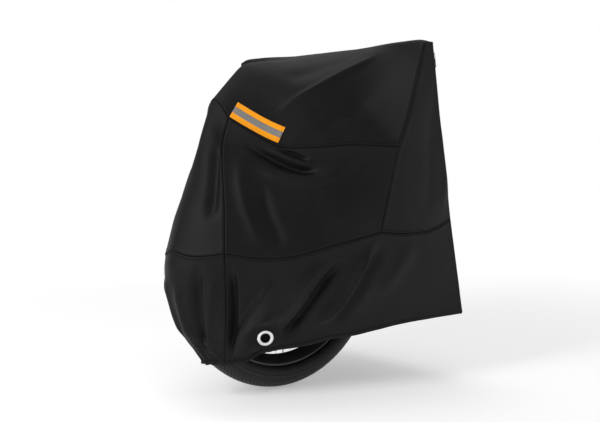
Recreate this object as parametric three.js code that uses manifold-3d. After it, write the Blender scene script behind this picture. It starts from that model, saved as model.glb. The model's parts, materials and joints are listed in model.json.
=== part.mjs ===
// A touring unicycle standing under its fitted fabric cover.
// Millimetres, +Z up, +X the way it rides, +Y to the rider's left.
// The origin is where the tyre touches the ground, in the wheel's middle plane.
import * as THREE from 'three';
import { mergeVertices } from 'three/addons/utils/BufferGeometryUtils.js';
import Module from 'manifold-3d';

const wasm = await Module();
wasm.setup();

// ---------------------------------------------------------------- driving sizes
const GAP = 0.3;                  // air left between pieces that touch

const WHEEL_R = 370;              // outside radius of the tyre
const TYRE_HALF = 36;             // half the width of the tyre
const RIM_R = 309;                // radius at the rim's edge
const RIM_INNER_R = 275;          // radius of the rim's spoke face
const RIM_HALF = 20;              // half the width of the rim
const AXLE = new THREE.Vector3(0, 0, WHEEL_R);

const FLANGE_R = 30;              // hub flange radius
const FLANGE_Y = 33;              // hub flange distance from the middle plane
const HUB_R = 17;                 // hub barrel radius
const AXLE_R = 11;                // radius of the axle
const LEG_Y = 62.5;               // frame legs and bearings, from the middle plane
const BEARING_R = 21;             // outside radius of a bearing
const BEARING_W = 12;             // width of a bearing
const WHEEL_SIDES = 56;            // facets round the tyre and rim
const TUBE_SIDES = 40;
const SPOKES_PER_SIDE = 18;
const SPOKE_R = 1.1;
const CROSSING = 3;               // how far round the flange a spoke leans, in spoke steps

const CRANK_L = 114;              // crank length, axle to pedal
const CRANK_Y = [79.5, 90.5];     // inner and outer face of a crank, clear of the legs
const PEDAL = { length: 88, width: 74, height: 24, gap: 3 };
const SPINDLE_R = 5;

const LEG_R = 15;                 // leg tube outside radius
const LEG_BORE = 11.6;            // leg tube bore
const LEG_TOP = 762;
const CROWN_Z = [747, 759];       // under and upper face of the crown plate
const COLLAR_Z = [728, 744];      // lower and upper face of a clamp collar
const LEVER_PIVOT = [24.5, 17.2]; // from the leg's axis: forwards and outwards
const POST_R = 11.2;              // seat post radius
const POST_BOTTOM = 500;
const BRIDGE_Z = [827, 835];      // the plate that joins the two posts
const SADDLE_Z = 884;             // top of the saddle in its middle
const SADDLE = { from: -124, to: 128 };

const BAR_HALF = 372;             // half the length of the handlebar
const BAR_X = 168;                // handlebar centre line
const BAR_Z = 938;
const BAR_RISE = 17;              // how much higher the bar's ends are than its middle
const BAR_R = 11.1;
const GRIP_R = 16;
const GRIP_L = 128;

const CLOTH = 4;                  // how deep a cover panel goes, along its inward line
const SEAM = 0.35;                // half the gap left along a seam between two panels
const COVER_CORE = new THREE.Vector3(40, 0, 520);   // panels thicken towards this point
const HEM = { height: 10, depth: 3 };   // elastic band below the panels
const EYELET = {                  // on the right-hand side panel, just above the hem
  at: [-146.7, -100.6, 173.9], facing: [-0.318, -0.771, -0.552], outside: 42, hole: 26, wall: 2.2,
};
const TAB = {                     // reflector tab on the yoke seam, corners as on the right-hand side
  corners: [[-196, -48, 809], [-108, -140, 741], [-131, -137, 701], [-224, -48, 769]],
  strip: [0.3, 0.7], thickness: 2, gap: 1,
};
const ZIP = { inboard: 9, from: 0.035, to: 0.95, half: 3.5, bed: 2.2, deep: 2.5 };

// ---------------------------------------------------------------- materials
const paint = (name, color, roughness, metalness) => {
  const m = new THREE.MeshStandardMaterial({ color, roughness, metalness });
  m.name = name;
  return m;
};
const MATERIALS = {
  cloth: paint('cloth', 0x202021, 0.85, 0),
  binding: paint('binding', 0x18181a, 0.8, 0),
  tyre: paint('tyre', 0x1b1b1c, 0.8, 0),
  butyl: paint('butyl', 0x111112, 0.7, 0),
  black: paint('black', 0x141416, 0.35, 0.9),
  alloy: paint('alloy', 0xb4b6ba, 0.35, 1),
  steel: paint('steel', 0x9a9ca0, 0.3, 1),
  plastic: paint('plastic', 0x1c1c1e, 0.5, 0),
  grip: paint('grip', 0x222224, 0.9, 0),
  vinyl: paint('vinyl', 0x26262a, 0.6, 0),
  orange: paint('orange', 0xffa40e, 0.6, 0),
  reflective: paint('reflective', 0x8d9093, 0.4, 0.2),
  zinc: paint('zinc', 0xc9cbce, 0.3, 1),
};

// ---------------------------------------------------------------- helpers
const V = (x, y, z) => new THREE.Vector3(x, y, z);

/** The same geometry with shared corners merged and only positions kept. */
function bare(geometry) {
  const g = geometry.clone();
  for (const name of ['normal', 'uv', 'color']) g.deleteAttribute(name);
  return mergeVertices(g, 1e-4);
}

/** A geometry as a manifold solid, after an optional move. */
function solid(geometry, matrix = new THREE.Matrix4()) {
  const g = bare(geometry.clone().applyMatrix4(matrix));
  return new wasm.Manifold(new wasm.Mesh({
    numProp: 3,
    vertProperties: new Float32Array(g.attributes.position.array),
    triVerts: new Uint32Array(g.index.array),
  }));
}

/** A manifold solid as a three.js geometry. */
function fromSolid(s) {
  const m = s.getMesh();
  const g = new THREE.BufferGeometry();
  g.setAttribute('position', new THREE.Float32BufferAttribute(m.vertProperties, 3));
  g.setIndex(new THREE.Uint32BufferAttribute(m.triVerts, 1));
  const flat = g.toNonIndexed();
  flat.computeVertexNormals();
  return flat;
}

const join = (...solids) => fromSolid(solids.reduce((a, b) => a.add(b)));
const moved = (x, y, z) => new THREE.Matrix4().makeTranslation(x, y, z);

/** A ring or drum about the Y axis: [radius, y] corners, anticlockwise. */
function turned(profile, segments) {
  const points = profile.map(([r, y]) => new THREE.Vector2(r, y));
  points.push(points[0].clone());
  return new THREE.LatheGeometry(points, segments);
}

/** A ring about Y from r0 to r1 between y0 and y1. */
const ring = (r0, r1, y0, y1, segments = 32) =>
  turned([[r0, y0], [r1, y0], [r1, y1], [r0, y1]], segments);

/** A cylinder from point a to point b. */
function rod(a, b, radius, sides = 12) {
  const g = new THREE.CylinderGeometry(radius, radius, a.distanceTo(b), sides);
  const turn = new THREE.Quaternion().setFromUnitVectors(V(0, 1, 0), b.clone().sub(a).normalize());
  g.applyQuaternion(turn);
  const middle = a.clone().add(b).multiplyScalar(0.5);
  return g.translate(middle.x, middle.y, middle.z);
}

/** A box between two corners. */
function block(lo, hi) {
  const g = new THREE.BoxGeometry(hi[0] - lo[0], hi[1] - lo[1], hi[2] - lo[2]);
  return g.translate((lo[0] + hi[0]) / 2, (lo[1] + hi[1]) / 2, (lo[2] + hi[2]) / 2);
}

/** A round or oval bar swept along points. */
function swept(points, rx, ry, steps, sides = 5) {
  const section = new THREE.Shape();
  section.absellipse(0, 0, rx, ry, 0, Math.PI * 2);
  return new THREE.ExtrudeGeometry(section, {
    steps, curveSegments: sides, bevelEnabled: false,
    extrudePath: new THREE.CatmullRomCurve3(points, false, 'centripetal'),
  });
}

/** A closed body from corner points and triangles, wound outwards whichever way they were listed. */
function closed(points, index) {
  const g = new THREE.BufferGeometry();
  g.setAttribute('position', new THREE.Float32BufferAttribute(points.flatMap((p) => [p.x, p.y, p.z]), 3));
  g.setIndex(index);
  if (solid(g).volume() < 0) {
    for (let k = 0; k < index.length; k += 3) [index[k], index[k + 1]] = [index[k + 1], index[k]];
    g.setIndex(index);
  }
  const flat = g.toNonIndexed();
  flat.computeVertexNormals();
  return flat;
}

const model = new THREE.Group();
function add(name, geometry, material, parent = model) {
  const mesh = new THREE.Mesh(geometry, MATERIALS[material]);
  mesh.name = name;
  parent.add(mesh);
  return mesh;
}
const SIDES = [['left', 1], ['right', -1]];

// ---------------------------------------------------------------- wheel
const wheel = new THREE.Group();
wheel.position.copy(AXLE);
model.add(wheel);

/** Tyre: a round carcass, open at the beads, with a shallow squarish tread. */
function tyreGeometry() {
  const section = WHEEL_R - TYRE_HALF;
  const wall = 4;
  const outer = [];
  const inner = [];
  const from = THREE.MathUtils.degToRad(-138);
  const steps = 8;
  for (let i = 0; i <= steps; i++) {
    const a = from + (i / steps) * -2 * from;
    outer.push([section + TYRE_HALF * Math.cos(a), TYRE_HALF * Math.sin(a)]);
    inner.push([section + (TYRE_HALF - wall) * Math.cos(a), (TYRE_HALF - wall) * Math.sin(a)]);
  }
  return turned([...outer, ...inner.reverse()], WHEEL_SIDES);
}
add('tyre', tyreGeometry(), 'tyre', wheel);

/** Inner tube: a thin-walled ring inside the tyre, slit along its seam on the rim side. */
function innerTubeGeometry() {
  const centre = WHEEL_R - TYRE_HALF + 3;
  const around = (r) => Array.from({ length: 7 }, (_, i) => {
    const a = THREE.MathUtils.degToRad(-170 + (i / 6) * 340);
    return [centre + r * Math.cos(a), r * Math.sin(a)];
  });
  return turned([...around(25), ...around(23).reverse()], TUBE_SIDES);
}
add('inner_tube', innerTubeGeometry(), 'butyl', wheel);

/** Rim: a deep V section of even wall, open to the tyre. */
function rimGeometry() {
  const bed = RIM_R - 9;
  const wall = 3;
  const well = RIM_INNER_R + 6;
  return turned([
    [RIM_INNER_R, -5], [RIM_R - 8, -RIM_HALF], [RIM_R, -RIM_HALF], [RIM_R, -RIM_HALF + wall],
    [bed, -RIM_HALF + wall], [well, -3], [well, 3], [bed, RIM_HALF - wall],
    [RIM_R, RIM_HALF - wall], [RIM_R, RIM_HALF], [RIM_R - 8, RIM_HALF], [RIM_INNER_R, 5],
  ], WHEEL_SIDES);
}
add('rim', rimGeometry(), 'black', wheel);

/** The spokes of one side: they leave the flange's two faces by turns, so they cross without touching. */
function spokeGeometry(side) {
  const headY = FLANGE_Y + 4.5;
  const ends = [side * (headY - 2), side * (headY + 2)];
  const heads = solid(ring(FLANGE_R - 4, FLANGE_R - 0.5, Math.min(...ends), Math.max(...ends), 18));
  const step = (Math.PI * 2) / SPOKES_PER_SIDE;
  const solids = [heads];
  for (let i = 0; i < SPOKES_PER_SIDE; i++) {
    const turn = i % 2 ? 1 : -1;
    const hole = (i + (side > 0 ? 0.25 : 0.75)) * step;
    const end = hole + turn * CROSSING * step;
    const [headR, rimR] = [FLANGE_R - 2, RIM_INNER_R - 1];
    const a = V(Math.cos(hole) * headR, side * (headY + turn * 1.4), Math.sin(hole) * headR);
    const b = V(Math.cos(end) * rimR, side * (4 + turn * 1.3), Math.sin(end) * rimR);
    solids.push(solid(rod(a, b, SPOKE_R, 4)));
  }
  return join(...solids);
}
for (const [side, s] of SIDES) add(`spokes_${side}`, spokeGeometry(s), 'steel', wheel);

/** Hub shell: a barrel between two flanges, bored for the axle. */
const hubShell = turned([
  [AXLE_R + GAP, -FLANGE_Y - 1.3], [FLANGE_R, -FLANGE_Y - 1.3], [FLANGE_R, -FLANGE_Y + 1.7],
  [HUB_R, -FLANGE_Y + 6], [HUB_R, FLANGE_Y - 6], [FLANGE_R, FLANGE_Y - 1.7],
  [FLANGE_R, FLANGE_Y + 1.3], [AXLE_R + GAP, FLANGE_Y + 1.3],
], 24);
add('hub_shell', hubShell, 'black', wheel);
const AXLE_END = CRANK_Y[1] - 2.5;
add('axle', rod(V(0, -AXLE_END, 0), V(0, AXLE_END, 0), AXLE_R - 0.3, 24), 'steel', wheel);
add('valve', rod(V(0, 0, -RIM_INNER_R + 34), V(0, 0, -RIM_INNER_R + 1), 3, 10), 'alloy', wheel);

// ---------------------------------------------------------------- cranks and pedals
/** One crank: a tapered arm with an eye at each end, bored for the axle and the spindle. */
function crankGeometry(s) {
  const [y0, y1] = CRANK_Y;
  const lo = Math.min(s * y0, s * y1);
  const hi = Math.max(s * y0, s * y1);
  const arm = new THREE.Shape();
  arm.absarc(0, 0, 18, Math.PI * 0.42, Math.PI * 1.58, false);
  arm.absarc(CRANK_L, 0, 12, -Math.PI * 0.45, Math.PI * 0.45, false);
  const axleHole = new THREE.Path();
  axleHole.absarc(0, 0, AXLE_R, 0, Math.PI * 2, true);
  const pedalHole = new THREE.Path();
  pedalHole.absarc(CRANK_L, 0, SPINDLE_R + GAP, 0, Math.PI * 2, true);
  arm.holes.push(axleHole, pedalHole);
  const g = new THREE.ExtrudeGeometry(arm, { depth: hi - lo, curveSegments: 14, bevelEnabled: false });
  g.rotateX(Math.PI / 2);
  g.translate(0, hi, 0);
  if (s < 0) g.rotateY(Math.PI);
  return g;
}

/** A platform pedal: a frame of bars round the spindle barrel. */
function pedalGeometry(s) {
  const y0 = s * (CRANK_Y[1] + PEDAL.gap);
  const y1 = s * (CRANK_Y[1] + PEDAL.gap + PEDAL.width);
  const [lo, hi] = [Math.min(y0, y1), Math.max(y0, y1)];
  const h = PEDAL.height / 2;
  const l = PEDAL.length / 2;
  const body = solid(block([-l, lo, -h * 0.7], [l, hi, h * 0.7]));
  const barrel = solid(rod(V(0, lo, 0), V(0, hi, 0), h, 16));
  let pedal = body.add(barrel);
  for (const x of [-1, 1]) {
    const window = [x * 12, x * (l - 8)];
    const [w0, w1] = [Math.min(...window), Math.max(...window)];
    pedal = pedal.subtract(solid(block([w0, lo + 9, -h - 1], [w1, (lo + hi) / 2 - 4, h + 1])));
    pedal = pedal.subtract(solid(block([w0, (lo + hi) / 2 + 4, -h - 1], [w1, hi - 9, h + 1])));
  }
  const bore = solid(rod(V(0, lo - 1, 0), V(0, hi + 1, 0), SPINDLE_R + GAP, 16));
  return fromSolid(pedal.subtract(bore));
}

for (const [side, s] of SIDES) {
  const arm = s > 0 ? 1 : -1;                      // the cranks point opposite ways
  add(`crank_${side}`, crankGeometry(s), 'black', wheel);
  add(`crank_bolt_${side}`, rod(V(0, s * (AXLE_END + GAP), 0), V(0, s * (CRANK_Y[1] + 2), 0), 8, 12),
    'steel', wheel);
  const spindle = rod(V(0, s * (CRANK_Y[0] + 1), 0),
    V(0, s * (CRANK_Y[1] + PEDAL.gap + PEDAL.width - 2), 0), SPINDLE_R, 12);
  add(`pedal_spindle_${side}`, spindle, 'steel', wheel).position.x = arm * CRANK_L;
  add(`pedal_${side}`, pedalGeometry(s), 'plastic', wheel).position.x = arm * CRANK_L;
}

// ---------------------------------------------------------------- frame
/** The frame: two leg tubes, the crown plate above the tyre and the upper bearing holders. */
function frameGeometry() {
  const [z0, z1] = CROWN_Z;
  let body = solid(block([-20, -LEG_Y - 10, z0], [20, LEG_Y + 10, z1]));
  for (const [, s] of SIDES) {
    const y = s * LEG_Y;
    body = body.add(solid(rod(V(0, y, WHEEL_R + BEARING_R + 2), V(0, y, LEG_TOP), LEG_R, 24)));
    const [y0, y1] = [y - BEARING_W / 2, y + BEARING_W / 2];
    const holder = solid(block([-32, y0, WHEEL_R + 1], [32, y1, WHEEL_R + BEARING_R + 12]));
    body = body.add(holder);
  }
  for (const [, s] of SIDES) {
    const y = s * LEG_Y;
    body = body.subtract(solid(rod(V(0, y, WHEEL_R + BEARING_R + 24), V(0, y, LEG_TOP + 5), LEG_BORE, 24)));
    body = body.subtract(solid(ring(0.01, BEARING_R + GAP, y - 20, y + 20, 32), moved(0, 0, WHEEL_R)));
    for (const x of [-26, 26]) {
      body = body.subtract(solid(rod(V(x, y, WHEEL_R - 2), V(x, y, WHEEL_R + 22), 2.6, 12)));
    }
  }
  return fromSolid(body);
}
add('frame', frameGeometry(), 'black');

for (const [side, s] of SIDES) {
  const y = s * LEG_Y;
  let cap = solid(block([-32, y - BEARING_W / 2, WHEEL_R - 13], [32, y + BEARING_W / 2, WHEEL_R - 1]));
  const band = ring(BEARING_R - 1, BEARING_R + 4, y - BEARING_W / 2, y + BEARING_W / 2, 32);
  cap = cap.add(solid(band, moved(0, 0, WHEEL_R))
    .subtract(solid(block([-40, y - 20, WHEEL_R - 1], [40, y + 20, WHEEL_R + 40]))));
  cap = cap.subtract(solid(ring(0.01, BEARING_R + GAP, y - 20, y + 20, 32), moved(0, 0, WHEEL_R)));
  for (const x of [-26, 26]) {
    cap = cap.subtract(solid(rod(V(x, y, WHEEL_R - 20), V(x, y, WHEEL_R + 5), 2.6, 12)));
  }
  add(`bearing_cap_${side}`, fromSolid(cap), 'alloy');
  const race = ring(AXLE_R + GAP - 0.3, BEARING_R, y - BEARING_W / 2 + 0.5, y + BEARING_W / 2 - 0.5, 32);
  add(`bearing_${side}`, race, 'steel').position.z = WHEEL_R;
  for (const [end, x] of [['front', 26], ['rear', -26]]) {
    const shank = solid(rod(V(x, y, WHEEL_R - 14), V(x, y, WHEEL_R + 20), 2.3, 10));
    const head = solid(rod(V(x, y, WHEEL_R - 17.5), V(x, y, WHEEL_R - 13.3), 4.4, 10));
    add(`cap_bolt_${side}_${end}`, join(shank, head), 'steel');
  }
}

// ---------------------------------------------------------------- seat post clamps
for (const [side, s] of SIDES) {
  const y = s * LEG_Y;
  const [z0, z1] = COLLAR_Z;
  let collar = solid(rod(V(0, y, z0), V(0, y, z1), LEG_R + 4, 28));
  collar = collar.add(solid(block([12, y - 8, z0], [30, y + 8, z1])));
  collar = collar.subtract(solid(rod(V(0, y, z0 - 1), V(0, y, z1 + 1), LEG_R + GAP, 24)));
  collar = collar.subtract(solid(block([LEG_R - 6, y - 1.2, z0 - 1], [31, y + 1.2, z1 + 1])));
  add(`clamp_collar_${side}`, fromSolid(collar), 'alloy');
  // the cam lever wraps the outside of the collar and swings out about an upright pin in the ear
  const across = (from, to) => [y + s * from, y + s * to].sort((p, q) => p - q);
  const [a0, a1] = across(20.5, 26);
  const pivot = s * (LEG_Y + LEVER_PIVOT[1]);
  const x = LEVER_PIVOT[0];
  const eye = solid(rod(V(x, pivot, z0 + 3), V(x, pivot, z1 - 3), LEVER_PIVOT[1] - 8 - GAP, 18));
  const lever = eye.add(solid(block([-38, a0, z0 + 4], [x, a1, z1 - 4])));
  add(`clamp_lever_${side}`, fromSolid(lever), 'alloy');
}

// ---------------------------------------------------------------- seat posts, bracket and handlebar
for (const [side, s] of SIDES) {
  const y = s * LEG_Y;
  add(`seat_post_${side}`, rod(V(0, y, POST_BOTTOM), V(0, y, BRIDGE_Z[0] - GAP), POST_R, 20), 'alloy');
}

/** The bracket: a plate over both posts with an arm that rises to the handlebar. */
function bracketGeometry() {
  const plate = solid(block([-26, -LEG_Y - 13, BRIDGE_Z[0]], [34, LEG_Y + 13, BRIDGE_Z[1]]));
  const under = BRIDGE_Z[0] + 1;
  const arm = solid(swept([V(10, 0, under), V(70, 0, under), V(134, 0, under + 8), V(160, 0, under + 32),
    V(BAR_X + 3, 0, under + 66), V(BAR_X, 0, BAR_Z - 8)], 9.5, 12, 14));
  const socket = solid(rod(V(BAR_X, -24, BAR_Z), V(BAR_X, 24, BAR_Z), BAR_R + 4.5, 20));
  const bore = solid(rod(V(BAR_X, -30, BAR_Z), V(BAR_X, 30, BAR_Z), BAR_R + GAP + 0.3, 24));
  const saddleRoom = solid(block([-40, -LEG_Y - 20, BRIDGE_Z[1]], [36, LEG_Y + 20, BRIDGE_Z[1] + 30]));
  const crownRoom = solid(block([-40, -40, BRIDGE_Z[0] - 40], [22, 40, BRIDGE_Z[0]]));
  return fromSolid(plate.add(arm).subtract(saddleRoom).subtract(crownRoom).add(socket).subtract(bore));
}
add('seat_bracket', bracketGeometry(), 'black');

/** Handlebar height along its length: level in the middle, then a gentle rise. */
const barZ = (y) => BAR_Z + BAR_RISE * THREE.MathUtils.smoothstep(Math.abs(y), 60, 200);
const barPath = Array.from({ length: 17 }, (_, i) => (i / 8 - 1) * BAR_HALF)
  .map((y) => V(BAR_X, y, barZ(y)));
add('handlebar', swept(barPath, BAR_R, BAR_R, 20, 6), 'black');
for (const [side, s] of SIDES) {
  const at = (y) => V(BAR_X, s * y, barZ(BAR_HALF));
  const sleeve = solid(rod(at(BAR_HALF - GRIP_L), at(BAR_HALF + 5), GRIP_R, 24));
  const bore = solid(rod(at(BAR_HALF - GRIP_L - 5), at(BAR_HALF + GAP), BAR_R + 0.5, 16));
  add(`grip_${side}`, fromSolid(sleeve.subtract(bore)), 'grip');
}

// ---------------------------------------------------------------- saddle
/** Saddle half width and height of its top along its length. */
const saddleHalf = (x) => {
  const t = (x - SADDLE.from) / (SADDLE.to - SADDLE.from);
  const waist = 68 + 14 * Math.cos(Math.PI * 2 * t);
  const ends = Math.sqrt(Math.max(0.02, 1 - Math.pow(Math.abs(2 * t - 1), 5)));
  return waist * ends;
};
const saddleTop = (x) => SADDLE_Z + 0.13 * (x + 5) + 0.0006 * (x + 20) ** 2;

/** A slab that follows the saddle: depth below the top from `above` to `below`, inset at the rim. */
function saddleSlab(above, below, inset, crown) {
  const nx = 10;
  const ny = 6;
  const top = [];
  const bottom = [];
  for (let i = 0; i <= nx; i++) {
    const x = SADDLE.from + inset + (SADDLE.to - SADDLE.from - 2 * inset) * (i / nx);
    for (let j = 0; j <= ny; j++) {
      const v = (j / ny) * 2 - 1;
      const y = v * (saddleHalf(x) - inset);
      const drop = crown * v * v * v * v;
      top.push(V(x, y, saddleTop(x) - above - drop));
      bottom.push(V(x, y, saddleTop(x) - below - crown * 0.35));
    }
  }
  return sheetSolid(top, bottom, nx, ny);
}

/** A closed slab from two grids of points, (nu + 1) by (nv + 1) each. */
function sheetSolid(top, bottom, nu, nv) {
  const n = top.length;
  const points = [...top, ...bottom];
  const at = (i, j) => i * (nv + 1) + j;
  const index = [];
  const quad = (a, b, c, d) => index.push(a, b, c, a, c, d);
  for (let i = 0; i < nu; i++) {
    for (let j = 0; j < nv; j++) {
      quad(at(i, j), at(i + 1, j), at(i + 1, j + 1), at(i, j + 1));
      quad(n + at(i, j), n + at(i, j + 1), n + at(i + 1, j + 1), n + at(i + 1, j));
    }
  }
  for (let i = 0; i < nu; i++) {
    quad(at(i, 0), n + at(i, 0), n + at(i + 1, 0), at(i + 1, 0));
    quad(at(i, nv), at(i + 1, nv), n + at(i + 1, nv), n + at(i, nv));
  }
  for (let j = 0; j < nv; j++) {
    quad(at(0, j), at(0, j + 1), n + at(0, j + 1), n + at(0, j));
    quad(at(nu, j), n + at(nu, j), n + at(nu, j + 1), at(nu, j + 1));
  }
  return closed(points, index);
}
add('saddle_base', saddleSlab(37, 43, 6, 6), 'plastic');
add('saddle_pad', saddleSlab(0, 34, 0, 8), 'vinyl');

// ---------------------------------------------------------------- fabric cover
/** Where the cloth bends over the handlebar: y along the bar, k from its front face over the top. */
const ARCH = 4;
const ARCH_R = GRIP_R + 6.6;
const ARCH_LIFT = 10;             // the cloth is stretched straighter than the bar in the middle
const ARCH_END = -398;
const ARCH_COLUMNS = 8;
function archPoint(y, k) {
  const outwards = THREE.MathUtils.smoothstep(Math.abs(y), 190, 330);
  const last = THREE.MathUtils.lerp(109, 158, outwards);
  const a = THREE.MathUtils.degToRad(THREE.MathUtils.lerp(22, last, k / ARCH));
  const rise = THREE.MathUtils.smoothstep(Math.abs(y), 120, 300);
  const centre = BAR_Z + THREE.MathUtils.lerp(ARCH_LIFT, BAR_RISE, rise);
  return V(BAR_X + ARCH_R * Math.cos(a), y, centre + ARCH_R * Math.sin(a));
}
const archLine = (k) =>
  Array.from({ length: ARCH_COLUMNS + 1 }, (_, i) => archPoint(ARCH_END * (i / ARCH_COLUMNS), k));

// Seam lines of the right-hand half, as [x, y, z], and how many steps each is cut into. Panels that
// share a seam use the same steps. The left half mirrors them across y = 0. The tail is the narrow
// end that wraps the tyre; the front is the wide flat end below the handlebar.
const SEAMS = {
  middleUpper: [6, [-243, 0, 817], [-268, 0, 752], [-286, 0, 688], [-309, 0, 609], [-348, 0, 515],
    [-378, 0, 423]],
  middleLower: [7, [-378, 0, 423], [-387, 0, 376], [-381, 0, 296], [-343, 0, 196], [-281, 0, 114]],
  edgeUpper: [6, [-228, -50, 768], [-240, -42, 717], [-254, -53, 672], [-268, -74, 623], [-285, -105, 523],
    [-303, -129, 417]],
  edgeLower: [7, [-303, -129, 417], [-300, -125, 323], [-285, -104, 240], [-262, -68, 170],
    [-244, -44, 113]],
  yokeSide: [8, [-228, -50, 768], [-182, -96, 728], [-128, -142, 692], [3, -251, 697], [118, -343, 692]],
  sashTop: [4, archPoint(ARCH_END, ARCH).toArray(), [131, -362, 764], [118, -343, 692]],
  sashFoot: [6, [118, -343, 692], [105, -320, 570], [95, -300, 461]],
  waistSide: [8, [-303, -129, 417], [-161, -220, 406], [-30, -272, 436], [95, -300, 461]],
  waistFront: [4, [95, -300, 461], [165, -308, 454], [275, -315, 455], [320, -316, 468], [367, -315, 487]],
  hemSide: [12, [-244, -44, 113], [-165, -58, 118], [-138, -77, 140], [-82, -114, 146], [-43, -148, 154],
    [18, -187, 171], [85, -207, 175], [230, -249, 196], [444, -300, 209]],
  corner: [10, archPoint(ARCH_END, 0).toArray(), [367, -315, 487]],
  cornerLower: [7, [367, -315, 487], [444, -300, 209]],
  yokeMiddle: [12, archPoint(0, ARCH).toArray(), [0, 0, 938], [-100, 0, 926], [-143, 0, 916], [-179, 0, 884],
    [-214, 0, 849], [-243, 0, 817]],
  yokeFold: [12, archPoint(-249, ARCH).toArray(), [30, -205, 890], [-70, -160, 829],
    [-145, -95, 800], [-240, -22, 806]],
  frontMiddle: [10, archPoint(0, 0).toArray(), [290, 0, 700], [376, 0, 487]],
  frontWaist: [8, [376, 0, 487], [374, -160, 487], [367, -315, 487]],
  frontHem: [8, [455, 0, 206], [453, -150, 207], [444, -300, 209]],
};

/** The points of a seam, evenly spaced along it. */
function seam(name) {
  const [steps, ...points] = SEAMS[name];
  const path = new THREE.CurvePath();
  for (let i = 1; i < points.length; i++) {
    path.add(new THREE.LineCurve3(V(...points[i - 1]), V(...points[i])));
  }
  return Array.from({ length: steps + 1 }, (_, i) => path.getPointAt(i / steps));
}
const chain = (...names) => names.flatMap((name, k) => seam(name).slice(k ? 1 : 0));

/** A grid of points between four edges, as a bilinear Coons patch: grid[i][j], i along the top edge. */
function patch(top, bottom, left, right) {
  const nu = top.length - 1;
  const nv = left.length - 1;
  return top.map((t, i) => left.map((l, j) => {
    const u = i / nu;
    const v = j / nv;
    const p = V(0, 0, 0).addScaledVector(t, 1 - v).addScaledVector(bottom[i], v);
    p.addScaledVector(l, 1 - u).addScaledVector(right[j], u);
    p.addScaledVector(top[0], -(1 - u) * (1 - v)).addScaledVector(top[nu], -u * (1 - v));
    return p.addScaledVector(bottom[0], -(1 - u) * v).addScaledVector(bottom[nu], -u * v);
  }));
}

/** Rows of points that run round the tail from its middle line to its edge seam, like half an ellipse. */
const TAIL_STEPS = 5;
const tailRow = (middle, edge) => Array.from({ length: TAIL_STEPS + 1 }, (_, i) => {
  const u = i / TAIL_STEPS;
  return V(middle.x + (edge.x - middle.x) * u ** 1.8, edge.y * u, middle.z + (edge.z - middle.z) * u ** 2);
});
function tailGrid(middle, edge) {
  const rows = middle.map((m, j) => tailRow(m, edge[j]));
  return rows[0].map((_, i) => rows.map((row) => row[i]));
}

/** The yoke's right half: rows run over the bar, then from the middle line over the fold to the seams. */
function yokeGrid() {
  const middle = seam('yokeMiddle');
  const fold = seam('yokeFold');
  const edge = [...seam('sashTop'), ...seam('yokeSide').reverse().slice(1)];
  const foldAt = 5;
  const tail = tailRow(middle[12], edge[12]);
  const arch = Array.from({ length: ARCH + 1 }, (_, k) => archLine(k));
  return Array.from({ length: ARCH_COLUMNS + 1 }, (_, i) => {
    const inside = i <= foldAt;
    const t = inside ? i / foldAt : (i - foldAt) / (ARCH_COLUMNS - foldAt);
    const below = middle.slice(1).map((m, j) => {
      if (j === middle.length - 2) return tailPoint(tail, inside ? t * 0.55 : 0.55 + 0.45 * t);
      const f = fold[j + 1];
      if (!inside) return f.clone().lerp(edge[j + 1], t);
      return V(m.x + (f.x - m.x) * t, f.y * t, m.z + (f.z - m.z) * t ** 1.7);
    });
    return [...arch.map((row) => row[i]), ...below];
  });
}
function tailPoint(row, t) {
  const k = Math.min(row.length - 2, Math.floor(t * (row.length - 1)));
  return row[k].clone().lerp(row[k + 1], t * (row.length - 1) - k);
}

/** A right-hand grid with its mirror image joined on across y = 0. */
function wholeGrid(half) {
  const mirror = half.slice(1).reverse().map((column) => column.map((p) => V(p.x, -p.y, p.z)));
  return [...mirror, ...half];
}

/** A cover panel from a grid: drawn back from its seams, thickened inwards; s = 1 mirrors it. */
function panel(grid, s = -1) {
  const nu = grid.length - 1;
  const nv = grid[0].length - 1;
  const back = (p, towards) => p.clone().addScaledVector(towards.clone().sub(p).normalize(), SEAM);
  const outer = grid.map((column, i) => column.map((p, j) => {
    let q = p.clone();
    if (i === 0 || i === nu) q = back(q, grid[i ? nu - 1 : 1][j]);
    if (j === 0 || j === nv) q = q.add(back(p, column[j ? nv - 1 : 1]).sub(p));
    return s > 0 ? V(q.x, -q.y, q.z) : q;
  })).flat();
  const inner = outer.map((p) => p.clone().addScaledVector(COVER_CORE.clone().sub(p).normalize(), CLOTH));
  return sheetSolid(outer, inner, nu, nv);
}

/** Where an eyelet sits: its own Y axis faces out of the cloth. */
function eyeletPlace(s) {
  const [x, y, z] = EYELET.at;
  const [nx, ny, nz] = EYELET.facing;
  const turn = new THREE.Quaternion().setFromUnitVectors(V(0, 1, 0), V(nx, -s * ny, nz).normalize());
  return new THREE.Matrix4().compose(V(x, -s * y, z), turn, V(1, 1, 1));
}

/** The eyelet: a collar through the cloth with a broad rolled flange outside. */
function eyeletGeometry() {
  const r = EYELET.hole / 2;
  const R = EYELET.outside / 2;
  return turned([[r, -7], [r + EYELET.wall, -7], [r + EYELET.wall, 1.2], [R, 1.2], [R, 2.4],
    [R - 3, 3.8], [r + 1, 3.8], [r, 2.6]], 28);
}

const tailUpper = tailGrid(seam('middleUpper'), seam('edgeUpper'));
const tailLower = tailGrid(seam('middleLower'), seam('edgeLower'));
add('cover_tail_upper', panel(wholeGrid(tailUpper)), 'cloth');
add('cover_tail_lower', panel(wholeGrid(tailLower)), 'cloth');
const yoke = add('cover_yoke', panel(wholeGrid(yokeGrid())), 'cloth');

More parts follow.
